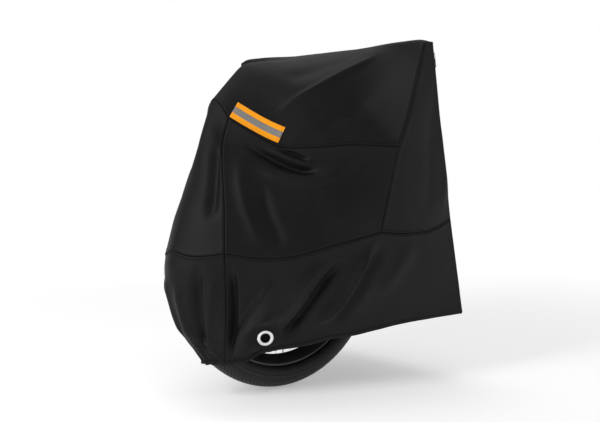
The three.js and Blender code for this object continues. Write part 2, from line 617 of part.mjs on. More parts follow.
const frontUpper = patch(archLine(0), seam('frontWaist'), seam('frontMiddle'), seam('corner'));
const frontLowerMiddle = Array.from({ length: 8 },
  (_, j) => seam('frontWaist')[0].lerp(seam('frontHem')[0], j / 7));
const frontLower = patch(seam('frontWaist'), seam('frontHem'), frontLowerMiddle, seam('cornerLower'));
add('cover_front_upper', panel(wholeGrid(frontUpper)), 'cloth');
add('cover_front_lower', panel(wholeGrid(frontLower)), 'cloth');

const sideUpper = patch(seam('yokeSide'), seam('waistSide'), seam('edgeUpper'), seam('sashFoot'));
const sideLower = patch(chain('waistSide', 'waistFront'), seam('hemSide'), seam('edgeLower'),
  seam('cornerLower'));
const gussetTop = Array.from({ length: ARCH + 1 }, (_, k) => archPoint(ARCH_END, ARCH - k));
const gusset = patch(gussetTop, seam('waistFront'), chain('sashTop', 'sashFoot'), seam('corner'));
for (const [side, s] of SIDES) {
  add(`cover_side_upper_${side}`, panel(sideUpper, s), 'cloth');
  add(`cover_gusset_${side}`, panel(gusset, s), 'cloth');
  // the lower side panel is pierced for its eyelet
  const hole = rod(V(0, -30, 0), V(0, 30, 0), EYELET.hole / 2 + EYELET.wall + GAP, 24);
  const pierced = solid(panel(sideLower, s)).subtract(solid(hole, eyeletPlace(s)));
  add(`cover_side_lower_${side}`, fromSolid(pierced), 'cloth');
  add(`eyelet_${side}`, eyeletGeometry().applyMatrix4(eyeletPlace(s)), 'zinc');
}

// ---------------------------------------------------------------- hem
/** The elastic hem: a band that hangs from the lower edge of all the panels, right round the mouth. */
function hemGeometry() {
  const half = [...tailRow(seam('middleLower')[7], seam('edgeLower')[7]), ...seam('hemSide').slice(1),
    ...seam('frontHem').reverse().slice(1)];
  const loop = [...half, ...half.slice(1, -1).reverse().map((p) => V(p.x, -p.y, p.z))];
  const n = loop.length;
  const corners = loop.flatMap((p) => {
    const inwards = V(COVER_CORE.x - p.x, -p.y, 0).normalize().multiplyScalar(HEM.depth);
    const top = p.clone().add(V(0, 0, -2 * SEAM));
    const foot = top.clone().add(V(0, 0, -HEM.height));
    return [top, foot, foot.clone().add(inwards), top.clone().add(inwards)];
  });
  const index = [];
  for (let i = 0; i < n; i++) {
    for (let k = 0; k < 4; k++) {
      const [here, next, l] = [i * 4, ((i + 1) % n) * 4, (k + 1) % 4];
      const [a, b, c, d] = [here + k, here + l, next + l, next + k];
      index.push(a, b, c, a, c, d);
    }
  }
  return closed(corners, index);
}
add('hem_band', hemGeometry(), 'binding');

// ---------------------------------------------------------------- reflector tabs
/** A patch that lies on a cloth panel: the rectangle's points are dropped along `down` on to it. */
function laid(cloth, corners, us, vs, down, gap, thickness) {
  const ray = new THREE.Raycaster();
  const [tl, tr, br, bl] = corners;
  const rows = (lift) => us.flatMap((u) => vs.map((v) => {
    const p = tl.clone().lerp(tr, u).lerp(bl.clone().lerp(br, u), v);
    ray.set(p.clone().addScaledVector(down, -120), down);
    const [hit] = ray.intersectObject(cloth);
    return (hit ? hit.point : p).clone().addScaledVector(down, -gap - lift);
  }));
  return sheetSolid(rows(thickness), rows(0), us.length - 1, vs.length - 1);
}
model.updateMatrixWorld(true);
for (const [side, s] of SIDES) {
  const corners = TAB.corners.map(([x, y, z]) => V(x, -s * y, z));
  const down = V(0.56, -s * 0.72, -0.41).normalize();
  const us = Array.from({ length: 9 }, (_, i) => i / 8);
  const { strip, gap, thickness } = TAB;
  add(`reflector_tab_${side}`, laid(yoke, corners, us, [0, ...strip, 1], down, gap, thickness), 'orange');
  add(`reflective_strip_${side}`,
    laid(yoke, corners, us.slice(1, -1), strip, down, gap + thickness + GAP, 0.8), 'reflective');
}

// ---------------------------------------------------------------- zip
/** A place on the zip's straight line, which runs down the front panel beside its right-hand corner. */
const zipPoint = (t) => seam('corner')[0].lerp(seam('corner')[10], t).add(V(0, ZIP.inboard, 0));
const along = zipPoint(1).sub(zipPoint(0)).normalize();
const across = V(0, 1, 0).addScaledVector(along, -along.y).normalize();
const out = along.clone().cross(across);
const zipFrame = (origin) => new THREE.Matrix4().makeBasis(along, across, out).setPosition(origin);
const zipTop = zipPoint(ZIP.from);
const zipLength = zipTop.distanceTo(zipPoint(ZIP.to));

/** Zip parts are drawn with x down the zip, y across it and z away from the cloth. */
const zipPart = (place, blocks, cut = []) => {
  const body = blocks.map(([lo, hi]) => solid(block(lo, hi), place)).reduce((a, b) => a.add(b));
  return fromSolid(cut.reduce((a, [lo, hi]) => a.subtract(solid(block(lo, hi), place)), body));
};
const { half, bed, deep } = ZIP;
add('zip_chain', zipPart(zipFrame(zipTop), [[[0, -half, bed], [zipLength, half, bed + deep]]]), 'plastic');
const slider = zipFrame(zipTop.clone().addScaledVector(along, 14));
add('zip_slider', zipPart(slider,
  [[[-8, -half - 2, bed - 0.8], [8, half + 2, bed + deep + 1.8]],
    [[-5, -0.8, bed + deep + 1], [-3.4, 0.8, bed + deep + 5.8]],
    [[3.4, -0.8, bed + deep + 1], [5, 0.8, bed + deep + 5.8]],
    [[-5, -0.8, bed + deep + 4.4], [5, 0.8, bed + deep + 5.8]]],
  [[[-9, -half - GAP, bed - GAP], [9, half + GAP, bed + deep + GAP]]]), 'steel');
const pullZ = bed + deep + 3.1;
add('zip_pull', zipPart(slider, [[[-0.7, -4, pullZ - 0.7], [34, 4, pullZ + 0.7]]],
  [[[0.7, -1.7, pullZ - 1], [8, 1.7, pullZ + 1]], [[24, -2, pullZ - 1], [30, 2, pullZ + 1]]]), 'steel');

export default model;
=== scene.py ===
"""Looks for a unicycle that stands under its fitted fabric cover. Everything is in the frame's own metres."""

import json
import math

import bpy
import numpy as np
from mathutils import Matrix, Vector, noise
from mathutils.bvhtree import BVHTree
from mathutils.kdtree import KDTree


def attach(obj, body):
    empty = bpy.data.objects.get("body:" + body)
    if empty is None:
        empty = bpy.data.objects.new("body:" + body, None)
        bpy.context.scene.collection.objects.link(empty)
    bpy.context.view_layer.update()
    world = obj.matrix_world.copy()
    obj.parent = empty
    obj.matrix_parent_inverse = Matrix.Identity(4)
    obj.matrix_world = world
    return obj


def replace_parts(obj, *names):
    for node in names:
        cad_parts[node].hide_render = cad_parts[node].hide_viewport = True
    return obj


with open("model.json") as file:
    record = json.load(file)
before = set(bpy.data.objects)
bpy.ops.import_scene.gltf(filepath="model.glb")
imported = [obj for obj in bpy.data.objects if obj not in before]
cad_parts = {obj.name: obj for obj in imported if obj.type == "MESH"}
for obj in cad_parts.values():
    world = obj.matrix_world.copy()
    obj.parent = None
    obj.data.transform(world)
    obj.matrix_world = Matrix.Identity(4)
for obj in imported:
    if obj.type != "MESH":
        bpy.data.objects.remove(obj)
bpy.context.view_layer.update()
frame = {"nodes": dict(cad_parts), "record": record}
MM = 0.001

# ------------ sizes, in millimetres
WHEEL_R, TYRE_HALF, RIM_R, RIM_INNER_R, RIM_HALF, AXLE_Z = 370, 36, 309, 275, 20, 370
BAR_X, BAR_Z, BAR_RISE, BAR_HALF, BAR_R, GRIP_R, GRIP_L = 168, 938, 17, 372, 11.1, 16, 128
ARCH_R, ARCH_LIFT, ARCH_END = GRIP_R + 6.6, 10, -398
ARCH_FRONT_ANGLE = 22             # degrees above level where the front panel starts to bend over the bar
HEM_HEIGHT = 10
SADDLE_FROM, SADDLE_TO, SADDLE_Z = -124, 128, 884
CLOTH_MM = 1.6
WAIST_Z, WAIST_DIP = 423, 13      # the waist seam at the tail's middle, and how far it sags beside that
EYELET_AT = np.array([-146.7, -100.6, 173.9])
EYELET_OUT = np.array([-0.502, -0.833, -0.232])
EYELET_HOLE_R = 15.5
TAB_SAG = 4
TAB_CORNERS = np.array([(-196, -48, 809), (-108, -140, 741), (-131, -137, 701), (-224, -48, 769)], float)
ZIP_INBOARD = 9.0                 # from the cover's corner seam
ACROSS = np.array([1, -1, 1])     # mirrors a point across y = 0


# ------------ small maths
def smoothstep(x, a, b):
    t = np.clip((np.asarray(x, float) - a) / (b - a), 0, 1)
    return t * t * (3 - 2 * t)


def lerp(a, b, t):
    return a + (b - a) * t


def catmull(points, per=40):
    """A smooth curve through the points, as a dense polyline."""
    p = np.array(points, float)
    if len(p) == 2:
        return p
    p = np.vstack([2 * p[0] - p[1], p, 2 * p[-1] - p[-2]])
    out = []
    for i in range(1, len(p) - 2):
        a, b, c, d = p[i - 1:i + 3]
        k = [0.0]
        for q, r in ((a, b), (b, c), (c, d)):
            k.append(k[-1] + max(1e-6, np.linalg.norm(r - q)) ** 0.5)
        for t in np.linspace(k[1], k[2], per, endpoint=False):
            a1 = (k[1] - t) / (k[1] - k[0]) * a + (t - k[0]) / (k[1] - k[0]) * b
            a2 = (k[2] - t) / (k[2] - k[1]) * b + (t - k[1]) / (k[2] - k[1]) * c
            a3 = (k[3] - t) / (k[3] - k[2]) * c + (t - k[2]) / (k[3] - k[2]) * d
            b1 = (k[2] - t) / (k[2] - k[0]) * a1 + (t - k[0]) / (k[2] - k[0]) * a2
            b2 = (k[3] - t) / (k[3] - k[1]) * a2 + (t - k[1]) / (k[3] - k[1]) * a3
            out.append((k[2] - t) / (k[2] - k[1]) * b1 + (t - k[1]) / (k[2] - k[1]) * b2)
    out.append(p[-2])
    return np.array(out)


def unit(v):
    """Vectors at length 1: one, or one in each row."""
    return v / np.linalg.norm(v, axis=-1, keepdims=True)


def length_of(line):
    return float(np.linalg.norm(np.diff(line, axis=0), axis=1).sum())


def run_along(line):
    """The length from a polyline's start to each of its points."""
    return np.concatenate([[0], np.cumsum(np.linalg.norm(np.diff(line, axis=0), axis=1))])


def sample(line, ts):
    """Points at fractions ts of a polyline's length."""
    s = run_along(line)
    at = np.asarray(ts) * s[-1]
    return np.stack([np.interp(at, s, line[:, k]) for k in range(3)], axis=-1)


def fractions(length, step=5.0):
    """Grid lines over a length: close together beside both edges, where the seams are, then even."""
    edge, first = np.array([0, 1.3, 2.6, 4.2, 6.2, 8.6]) / length, 11
    n = max(2, int(round((length - 2 * first) / step)))
    middle = np.linspace(first / length, 1 - first / length, n + 1)
    return np.concatenate([edge, middle, 1 - edge[::-1]])


# ------------ seam lines of the right-hand half
def arch_point(y, k):
    """Where the cloth bends over the handlebar: k runs from its front face, 0, over the top to 1."""
    y = np.asarray(y, float)
    out_along = np.abs(y)
    last = lerp(109, 158, smoothstep(out_along, 190, 330))
    a = np.radians(lerp(ARCH_FRONT_ANGLE, last, k))
    centre = BAR_Z + lerp(ARCH_LIFT, BAR_RISE, smoothstep(out_along, 120, 300))
    # rounded over the bar's ends, but not down the front
    rounding = 9 * np.clip((out_along - 362) / 36, 0, 1) ** 2
    radius = ARCH_R - rounding * smoothstep(k, 0, 0.4)
    z = centre + radius * np.sin(a)
    return np.stack([BAR_X + radius * np.cos(a), np.broadcast_to(y, z.shape), z], axis=-1)


TOP_BACK = tuple(arch_point(ARCH_END, 1))
TOP_FRONT = tuple(arch_point(ARCH_END, 0))
SEAMS = {name: catmull(points) for name, points in {
    "middle_upper": [(-243, 0, 817), (-268, 0, 752), (-286, 0, 688), (-309, 0, 609), (-347, 0, 515),
                     (-377, 0, WAIST_Z)],
    "middle_lower": [(-377, 0, WAIST_Z), (-386, 0, 376), (-380, 0, 296), (-343, 0, 196), (-281, 0, 114)],
    "edge_upper": [(-228, -50, 768), (-240, -42, 717), (-254, -53, 672), (-268, -74, 623), (-285, -105, 523),
                   (-303, -129, 417)],
    "edge_lower": [(-303, -129, 417), (-300, -125, 323), (-285, -104, 240), (-262, -68, 170),
                   (-244, -44, 113)],
    "yoke_side": [(-228, -50, 768), (-182, -96, 728), (-128, -142, 692), (-64, -200, 690), (3, -251, 697),
                  (60, -298, 696), (118, -343, 692)],
    "sash_top": [TOP_BACK, (131, -362, 764), (118, -343, 692)],
    "sash_foot": [(118, -343, 692), (105, -320, 570), (95, -300, 461)],
    "waist_side": [(-303, -129, 417), (-235, -176, 405), (-161, -220, 406), (-30, -272, 436),
                   (95, -300, 461)],
    "waist_front": [(95, -300, 461), (165, -308, 454), (230, -312, 453), (275, -315, 456), (320, -316, 468),
                    (367, -315, 487)],
    "hem_side": [(-244, -44, 113), (-165, -58, 118), (-138, -77, 140), (-82, -114, 146),
                 (-43, -148, 154), (18, -187, 171), (85, -207, 175), (230, -249, 196), (444, -300, 209)],
    "corner": [TOP_FRONT, (367, -315, 487)],
    "corner_lower": [(367, -315, 487), (444, -300, 209)],
    "yoke_middle": [tuple(arch_point(0, 1)), (0, 0, 938), (-100, 0, 926), (-143, 0, 914), (-179, 0, 884),
                    (-214, 0, 849), (-243, 0, 817)],
    "yoke_fold": [tuple(arch_point(-249, 1)), (30, -205, 890), (-70, -160, 829), (-145, -95, 800),
                  (-240, -22, 806)],
    "front_middle": [tuple(arch_point(0, 0)), (290, 0, 700), (376, 0, 487)],
    "front_waist": [(376, 0, 487), (374, -160, 487), (367, -315, 487)],
    "front_hem": [(455, 0, 206), (453, -150, 207), (444, -300, 209)],
}.items()}
SEWN = ["edge_upper", "edge_lower", "yoke_side", "sash_top", "sash_foot", "waist_side", "waist_front",
        "corner", "corner_lower", "front_waist"]
TOPSTITCHED = ["sash_top", "sash_foot", "waist_side", "waist_front", "front_waist", "yoke_side"]


def tail_seam(part):
    """The seam that crosses the tail at the top of its upper or lower panel."""
    return tail_row(SEAMS[f"middle_{part}"][0], SEAMS[f"edge_{part}"][0], np.linspace(0, 1, 40))


def tail_row(middle, edge, u):
    """Points round the tail from its middle line to its edge seam, like half an ellipse."""
    u = np.asarray(u)[:, None]
    out = np.empty((len(u), 3))
    out[:, 0] = (middle[0] + (edge[0] - middle[0]) * u ** 1.8)[:, 0]
    out[:, 1] = (edge[1] * u)[:, 0]
    out[:, 2] = (middle[2] + (edge[2] - middle[2]) * u ** 2)[:, 0]
    out[:, 2] -= WAIST_DIP * np.sin(np.pi * u[:, 0]) * np.exp(-((middle[2] - WAIST_Z) / 70) ** 2)
    return out


def coons(top, bottom, left, right, us, vs):
    """A surface between four edge lines: result[i, j] at us[i], vs[j]."""
    t, b, l, r = sample(top, us), sample(bottom, us), sample(left, vs), sample(right, vs)
    u, v = us[:, None, None], vs[None, :, None]
    p = t[:, None] * (1 - v) + b[:, None] * v + l[None] * (1 - u) + r[None] * u
    return p - (t[0] * (1 - u) * (1 - v) + t[-1] * u * (1 - v) + b[0] * (1 - u) * v + b[-1] * u * v)


def chain(*names):
    """Seams that follow one another, as one line."""
    return np.vstack([SEAMS[names[0]]] + [SEAMS[n][1:] for n in names[1:]])


# ------------ folds
# Each fold is a line on the right-hand side with its height (a valley is below 0) and half width.
FOLDS = [
    # under the reflector tab
    (-19, 9, [(-210, -76, 706), (-165, -117, 670), (-120, -160, 640), (-86, -192, 627), (-52, -222, 630)]),
    (8, 8, [(-160, -118, 686), (-112, -160, 662), (-80, -190, 646), (-58, -210, 640)]),
    (-13, 6, [(-134, -136, 692), (-100, -168, 670), (-70, -196, 654)]),
    (9, 15, [(-190, -105, 636), (-130, -160, 608), (-60, -216, 602), (0, -256, 628)]),
    # upper side panel
    (8, 17, [(-212, -76, 690), (-234, -125, 553), (-215, -185, 425)]),
    (-9, 18, [(-180, -115, 610), (-190, -160, 520), (-170, -210, 425)]),
    (4, 40, [(-60, -250, 600), (-20, -270, 480)]),
    # lower side panel
    (-30, 14, [(-297, -140, 402), (-286, -132, 300), (-262, -96, 209), (-236, -56, 112)]),
    (21, 14, [(-187, -190, 362), (-206, -158, 290), (-220, -127, 243), (-220, -88, 173), (-214, -55, 116)]),
    (-10, 14, [(-158, -190, 330), (-172, -150, 262), (-190, -110, 200), (-186, -60, 125)]),
    (11, 20, [(-60, -250, 392), (-112, -225, 330), (-132, -180, 262), (-140, -140, 215)]),
    (-27, 14, [(8, -272, 404), (-48, -243, 338), (-80, -201, 264), (-91, -159, 211), (-114, -110, 150)]),
    (19, 12, [(84, -293, 440), (40, -270, 360), (8, -235, 276), (-44, -187, 195)]),
    (-13, 17, [(112, -300, 440), (78, -285, 360), (48, -250, 280), (0, -205, 190)]),
    (5, 26, [(230, -305, 440), (180, -295, 360), (130, -260, 280)]),
    # tail
    (-21, 12, [(-350, -84, 395), (-352, -66, 305), (-332, -48, 227), (-286, -20, 120)]),
    (15, 10, [(-322, -110, 365), (-318, -92, 290), (-304, -64, 220), (-276, -32, 125)]),
    (8, 11, [(-382, -26, 352), (-371, -22, 270), (-324, -14, 168)]),
    (-13, 15, [(-262, -34, 712), (-284, -58, 610), (-318, -84, 490)]),
    # yoke
    (10, 9, [(150, -276, 966), (92, -238, 926), (36, -208, 893), (-59, -165, 832), (-136, -118, 776)]),
    (-6, 26, [(120, -330, 900), (40, -250, 790), (-50, -200, 735)]),
    (-5, 24, [(120, -200, 950), (20, -150, 910), (-90, -100, 868)]),
    # gusset
    (-5, 26, [(205, -378, 870), (232, -362, 740), (250, -345, 600), (262, -322, 480)]),
    (5, 16, [(262, -365, 800), (300, -350, 690), (318, -335, 600), (322, -322, 500)]),
]


def distance_to_line(p, line):
    """Distance of each point from a polyline, and how far along it the nearest place is, 0 to 1."""
    best = np.full(len(p), np.inf)
    along = np.zeros(len(p))
    segments = np.diff(line, axis=0)
    start = run_along(line)
    for i, s in enumerate(segments):
        size = np.linalg.norm(s)
        t = np.clip(((p - line[i]) @ s) / (size ** 2), 0, 1)
        d = np.linalg.norm(p - (line[i] + t[:, None] * s), axis=1)
        near = d < best
        best[near] = d[near]
        along[near] = (start[i] + t[near] * size) / start[-1]
    return best, along


def seam_tree(names, tail_parts):
    """Points close together along the seams of both halves, to measure distances from."""
    lines = [SEAMS[n] for n in names]
    lines += [tail_seam(part) for part in tail_parts]
    dense = np.vstack([sample(l, np.linspace(0, 1, int(length_of(l) / 1.2) + 2)) for l in lines])
    dense = np.vstack([dense, dense * ACROSS])
    tree = KDTree(len(dense))
    for i, q in enumerate(dense):
        tree.insert(q, i)
    tree.balance()
    return tree


SEAM_TREE = seam_tree(SEWN, ("upper", "lower"))
TOP_TREE = seam_tree(TOPSTITCHED, ("lower",))
OUTWARDS_FROM = np.array([60.0, 0.0, 520.0])


def outwards(p):
    """The way out of the cover at each point."""
    return unit((p - OUTWARDS_FROM) * [1, 1, 0.45])


def wrinkle(p):
    """Small unevenness of the cloth, in millimetres."""
    out = np.empty(len(p))
    for i, q in enumerate(p):
        broad = Vector(q * [0.0085, 0.0085, 0.006])
        fine = Vector(q * [0.028, 0.028, 0.017])
        out[i] = 1.9 * noise.noise(broad) + 0.55 * noise.noise(fine)
    return out


def shaped(p):
    """The cloth surface: the smooth form with its folds, gathers, seam valleys and unevenness."""
    p = np.asarray(p, float).reshape(-1, 3)
    right = p[:, 1] <= 0
    side = np.where(right[:, None], 1, ACROSS)
    # the left half's folds are the right half's, moved a little so that the two aren't alike
    q = p * side + np.where(right[:, None], 0, [6.0, 0.0, -9.0])
    move = np.zeros(len(p))
    for height, half, line in FOLDS:
        d, t = distance_to_line(q, catmull(line, 8))
        taper = smoothstep(t, 0, 0.3) * (1 - smoothstep(t, 0.78, 1))
        move += height * np.exp(-(d / half) ** 2) * taper
    # gathers along the elastic hem near the wheel
    near_hem, t = distance_to_line(q, sample(SEAMS["hem_side"], np.linspace(0, 1, 60)))
    gather = (1 - smoothstep(t, 0.10, 0.24)) * np.exp(-near_hem / 34)
    move += 2.6 * gather * np.sin(t * length_of(SEAMS["hem_side"]) / 2.7)
    tail = (q[:, 0] < -240) & (q[:, 2] < 330)
    move += np.where(tail, 2.4 * np.exp(-(q[:, 2] - 112) / 60) * np.sin(q[:, 1] / 2.4), 0)
    # each seam lies in a narrow valley between two soft swells
    seam_d = np.array([SEAM_TREE.find(v)[2] for v in p])
    move += wrinkle(q)
    calm = 1 - 0.5 * np.exp(-(seam_d / 9) ** 2)
    move = move * calm - 1.5 * np.exp(-(seam_d / 2.1) ** 2) + 1.0 * np.exp(-((seam_d - 6) / 4.0) ** 2)
    moved = p + outwards(p) * move[:, None]
    # the cloth lies flat round the eyelets
    from_eyelet = moved * side - EYELET_AT
    flat = 1 - smoothstep(np.linalg.norm(from_eyelet, axis=1), 25, 62)
    height = from_eyelet @ EYELET_OUT
    return moved - side * EYELET_OUT * (height * flat)[:, None], seam_d


# ------------ node materials
class Finish:
    """A material under construction, with a short call for each kind of node."""

    def __init__(self, name):
        self.material = bpy.data.materials.new(name)
        self.material.use_nodes = True
        self.nodes, self.links = self.material.node_tree.nodes, self.material.node_tree.links
        self.shader = self.nodes["Principled BSDF"]

    def put(self, value, socket):
        """Links a node's output to a socket, or sets the socket to a number or colour."""
        if isinstance(value, bpy.types.NodeSocket):
            self.links.new(value, socket)
        else:
            socket.default_value = value

    def surface(self, **values):
        """Sets the shader's sockets: Base_Color stands for Base Color."""
        for name, value in values.items():
            self.put(value, self.shader.inputs[name.replace("_", " ")])

    def maths(self, op, *values):
        n = self.nodes.new("ShaderNodeMath")
        n.operation = op
        for socket, value in zip(n.inputs, values):
            self.put(value, socket)
        return n.outputs[0]

    def wave(self, value, pitch):
        """A sine over `value`, which is in millimetres."""
        return self.maths("SINE", self.maths("MULTIPLY", value, 2 * math.pi / pitch))

    def coords(self, kind):
        return self.nodes.new("ShaderNodeTexCoord").outputs[kind]

    def uv(self):
        split = self.nodes.new("ShaderNodeSeparateXYZ")
        self.links.new(self.coords("UV"), split.inputs[0])
        return split.outputs[0], split.outputs[1]

    def stretched(self, scale):
        """Object coordinates, scaled apart along the axes."""
        n = self.nodes.new("ShaderNodeMapping")
        n.inputs["Scale"].default_value = scale
        self.links.new(self.coords("Object"), n.inputs["Vector"])
        return n.outputs[0]

    def noise(self, scale, detail=3.0, coords=None):
        n = self.nodes.new("ShaderNodeTexNoise")
        n.inputs["Scale"].default_value = scale
        n.inputs["Detail"].default_value = detail
        self.links.new(coords or self.coords("Object"), n.inputs["Vector"])
        return n.outputs["Fac"]

    def attribute(self, name):
        n = self.nodes.new("ShaderNodeAttribute")
        n.attribute_name = name
        return n.outputs["Fac"]

    def ramp(self, value, *stops):
        n = self.nodes.new("ShaderNodeValToRGB")
        for e, (at, colour) in zip(n.color_ramp.elements, stops):
            e.position = at
            e.color = (*colour, 1)
        self.links.new(value, n.inputs[0])
        return n.outputs[0]

    def map_range(self, value, low, high, to_low=0.0, to_high=1.0, smooth=True):
        n = self.nodes.new("ShaderNodeMapRange")
        n.interpolation_type = "SMOOTHSTEP" if smooth else "LINEAR"
        for socket, v in zip(n.inputs, (value, low, high, to_low, to_high)):
            self.put(v, socket)
        return n.outputs[0]

    def band(self, value, centre, half):
        """1 at the centre of a band of that half width, falling smoothly to 0 at its sides."""
        return self.map_range(self.maths("ABSOLUTE", self.maths("SUBTRACT", value, centre)), half, 0)

    def darker(self, value, factor, colour):
        n = self.nodes.new("ShaderNodeMix")
        n.data_type = "RGBA"
        for socket, v in zip((n.inputs["Factor"], n.inputs[6], n.inputs[7]), (factor, value, (*colour, 1))):
            self.put(v, socket)
        return n.outputs[2]

    def bump(self, height, distance, strength=1.0, normal=None):
        n = self.nodes.new("ShaderNodeBump")
        n.inputs["Distance"].default_value = distance
        n.inputs["Strength"].default_value = strength
        self.links.new(height, n.inputs["Height"])
        if normal is not None:
            self.links.new(normal, n.inputs["Normal"])
        return n.outputs["Normal"]


def cloth_material():
    """Black soft shell: a fine weave, faint level lines, and grooves at seams and topstitching, with painted
    shade darkening the colour in those grooves.
    """
    f = Finish("soft_shell_cloth")
    u, v = f.uv()
    thread_pitch = 1.5
    twill = f.wave(f.maths("ADD", u, v), 2 * thread_pitch)
    weave = f.maths("MULTIPLY", f.wave(u, thread_pitch), f.wave(v, thread_pitch))
    weave = f.maths("ADD", weave, f.maths("MULTIPLY", twill, 0.5))
    seam_groove = f.band(f.attribute("seam_mm"), 0, 2.2)
    stitch_groove = f.band(f.attribute("topstitch_mm"), 6.6, 1.9)
    grooves_and_shade = f.maths("MAXIMUM", seam_groove, f.maths("MULTIPLY", stitch_groove, 0.9))
    level_lines = f.noise(1, 2, f.stretched((30, 30, 420)))
    mottle = f.maths("MULTIPLY_ADD", level_lines, 0.9, f.maths("MULTIPLY_ADD", f.noise(9, 4), 0.6, -0.25))
    tint = f.ramp(mottle, (0.3, (0.0033, 0.0033, 0.0039)), (0.7, (0.0062, 0.0060, 0.0065)))
    rough = f.maths("MULTIPLY_ADD", level_lines, 0.14, 0.43)
    normal = f.bump(weave, 0.00012, 0.55)
    normal = f.bump(f.noise(190, 4), 0.0004, 0.35, normal)
    normal = f.bump(f.maths("MULTIPLY", grooves_and_shade, -1), 0.0012, 0.9, normal)
    # the seam and topstitch grooves are painted darker: painted shade in the valleys of the seams and stitching
    f.surface(Base_Color=f.darker(tint, grooves_and_shade, (0.0008, 0.0008, 0.0009)),
              Roughness=f.maths("ADD", rough, f.maths("MULTIPLY", grooves_and_shade, 0.3)),
              Specular_IOR_Level=0.145, Sheen_Weight=0.018, Sheen_Roughness=0.42,
              Sheen_Tint=(0.80, 0.84, 1.0, 1), Normal=normal)
    return f.material


def uneven(name, low, high, rough=(0.4, 0.5), metallic=0.0, scale=40, bumpy=0.0003, spec=0.5, coat=0.0):
    """A finish with uneven colour and roughness and a fine surface, still open to changes."""
    f = Finish(name)
    f.surface(Base_Color=f.ramp(f.noise(scale, 4), (0.3, low), (0.7, high)),
              Roughness=f.maths("MULTIPLY_ADD", f.noise(scale * 3), rough[1] - rough[0], rough[0]),
              Metallic=metallic, Specular_IOR_Level=spec, Coat_Weight=coat,
              Normal=f.bump(f.noise(scale * 9), bumpy, 0.5))
    return f


def plain(*values, **more):
    return uneven(*values, **more).material


def brushed(name, low, high, rough=(0.25, 0.4)):
    """Metal with fine drawn lines."""
    f = uneven(name, low, high, rough, 1.0, 30, 0.0001)
    f.surface(Normal=f.bump(f.noise(3, 2, f.stretched((300, 300, 12))), 0.0001, 0.4))
    return f.material


def ribbed(name, colour, pitch, depth, rough=0.8):
    """Fabric or rubber with even ribs across its UVs, which are in millimetres."""
    f = Finish(name)
    _, across = f.uv()
    low = tuple(c * 0.85 for c in colour)
    mix = f.maths("MULTIPLY_ADD", f.noise(80), 0.5, 0.25)
    normal = f.bump(f.wave(across, pitch), depth, 0.8)
    f.surface(Base_Color=f.ramp(mix, (0.2, low), (0.8, colour)), Roughness=rough, Specular_IOR_Level=0.3,
              Normal=f.bump(f.noise(400), 0.0002, 0.4, normal))
    return f.material


def tyre_material():
    """Black rubber: diagonal sipes over the tread, fine hatching and two moulded rings on the sidewall, with
    painted shade darkening the sipes and rings.
    """
    f = Finish("tyre_rubber")
    round_, over = f.uv()                                    # both in millimetres; over is 0 at the crown
    side = f.maths("ABSOLUTE", over)
    sipe = f.band(f.wave(f.maths("MULTIPLY_ADD", side, 1.1, round_), 15), 1.0, 0.34)
    tread = f.map_range(side, 34, 31, smooth=False)
    beside_crown = f.maths("MINIMUM", f.maths("MULTIPLY", f.band(side, 20, 15), 4), 1)
    sipes = f.maths("MULTIPLY", f.maths("MULTIPLY", sipe, tread), beside_crown)
    hatching = f.maths("MULTIPLY", f.wave(round_, 3.2), f.band(side, 46, 9))
    rings = f.maths("ADD", f.band(side, 37, 1.2), f.band(side, 60, 1.0))
    wear = f.noise(24, 5)
    base = f.ramp(wear, (0.3, (0.008, 0.008, 0.0083)), (0.75, (0.0165, 0.0165, 0.0168)))
    painted_cut_shade = f.maths("MINIMUM", f.maths("ADD", sipes, rings), 1)
    normal = f.bump(f.maths("MULTIPLY", sipes, -1), 0.0040, 1.0)
    normal = f.bump(hatching, 0.0012, 0.9, normal)
    normal = f.bump(f.maths("MULTIPLY", rings, -1), 0.0016, 1.0, normal)
    # the sipes and rings are painted darker: painted shade in their cuts
    f.surface(Base_Color=f.darker(base, painted_cut_shade, (0.003, 0.003, 0.003)),
              Roughness=f.maths("MULTIPLY_ADD", sipes, 0.4, f.maths("MULTIPLY_ADD", wear, 0.2, 0.42)),
              Specular_IOR_Level=0.28, Normal=f.bump(f.noise(300), 0.0002, 0.4, normal))
    return f.material


def tape_material():
    """Grey reflective tape with a fine diamond grid."""
    f = Finish("reflective_tape")
    u, v = f.uv()
    grid_pitch = 2.4
    diagonals = [f.wave(f.maths(op, u, v), grid_pitch) for op in ("ADD", "SUBTRACT")]
    grid = f.maths("MULTIPLY_ADD", f.maths("MAXIMUM", *diagonals), 0.5, 0.5)
    f.surface(Base_Color=f.ramp(grid, (0.25, (0.36, 0.35, 0.33)), (0.9, (0.15, 0.145, 0.14))),
              Roughness=0.42, Metallic=0.25, Normal=f.bump(grid, 0.0002, 0.6))
    return f.material


CLOTH = cloth_material()
BINDING = ribbed("elastic_binding", (0.006, 0.006, 0.0065), 2.6, 0.0004)
ORANGE = ribbed("orange_webbing", (1.0, 0.37, 0.002), 1.4, 0.00015, 0.62)
THREAD = plain("thread_black", (0.006, 0.006, 0.006), (0.014, 0.014, 0.015), (0.6, 0.8), 0, 200, 0.0001,
               0.3)
ORANGE_THREAD = plain("thread_orange", (0.75, 0.22, 0.004), (0.95, 0.32, 0.006), (0.6, 0.8), 0, 200, 0.0001)
TAPE = tape_material()
TYRE = tyre_material()
SATIN_BLACK = plain("satin_black_paint", (0.008, 0.008, 0.009), (0.012, 0.012, 0.013), (0.28, 0.4), 0, 30,
                    0.00005, coat=0.25)
ALLOY = brushed("satin_alloy", (0.50, 0.51, 0.53), (0.62, 0.63, 0.65), (0.3, 0.42))
STEEL = brushed("drawn_steel", (0.42, 0.42, 0.44), (0.56, 0.56, 0.58), (0.22, 0.36))
NICKEL = plain("bright_nickel", (0.70, 0.70, 0.70), (0.86, 0.86, 0.85), (0.22, 0.34), 1.0, 90, 0.00005)
PLASTIC = plain("moulded_black_plastic", (0.010, 0.010, 0.011), (0.016, 0.016, 0.017), (0.5, 0.62), 0, 60)
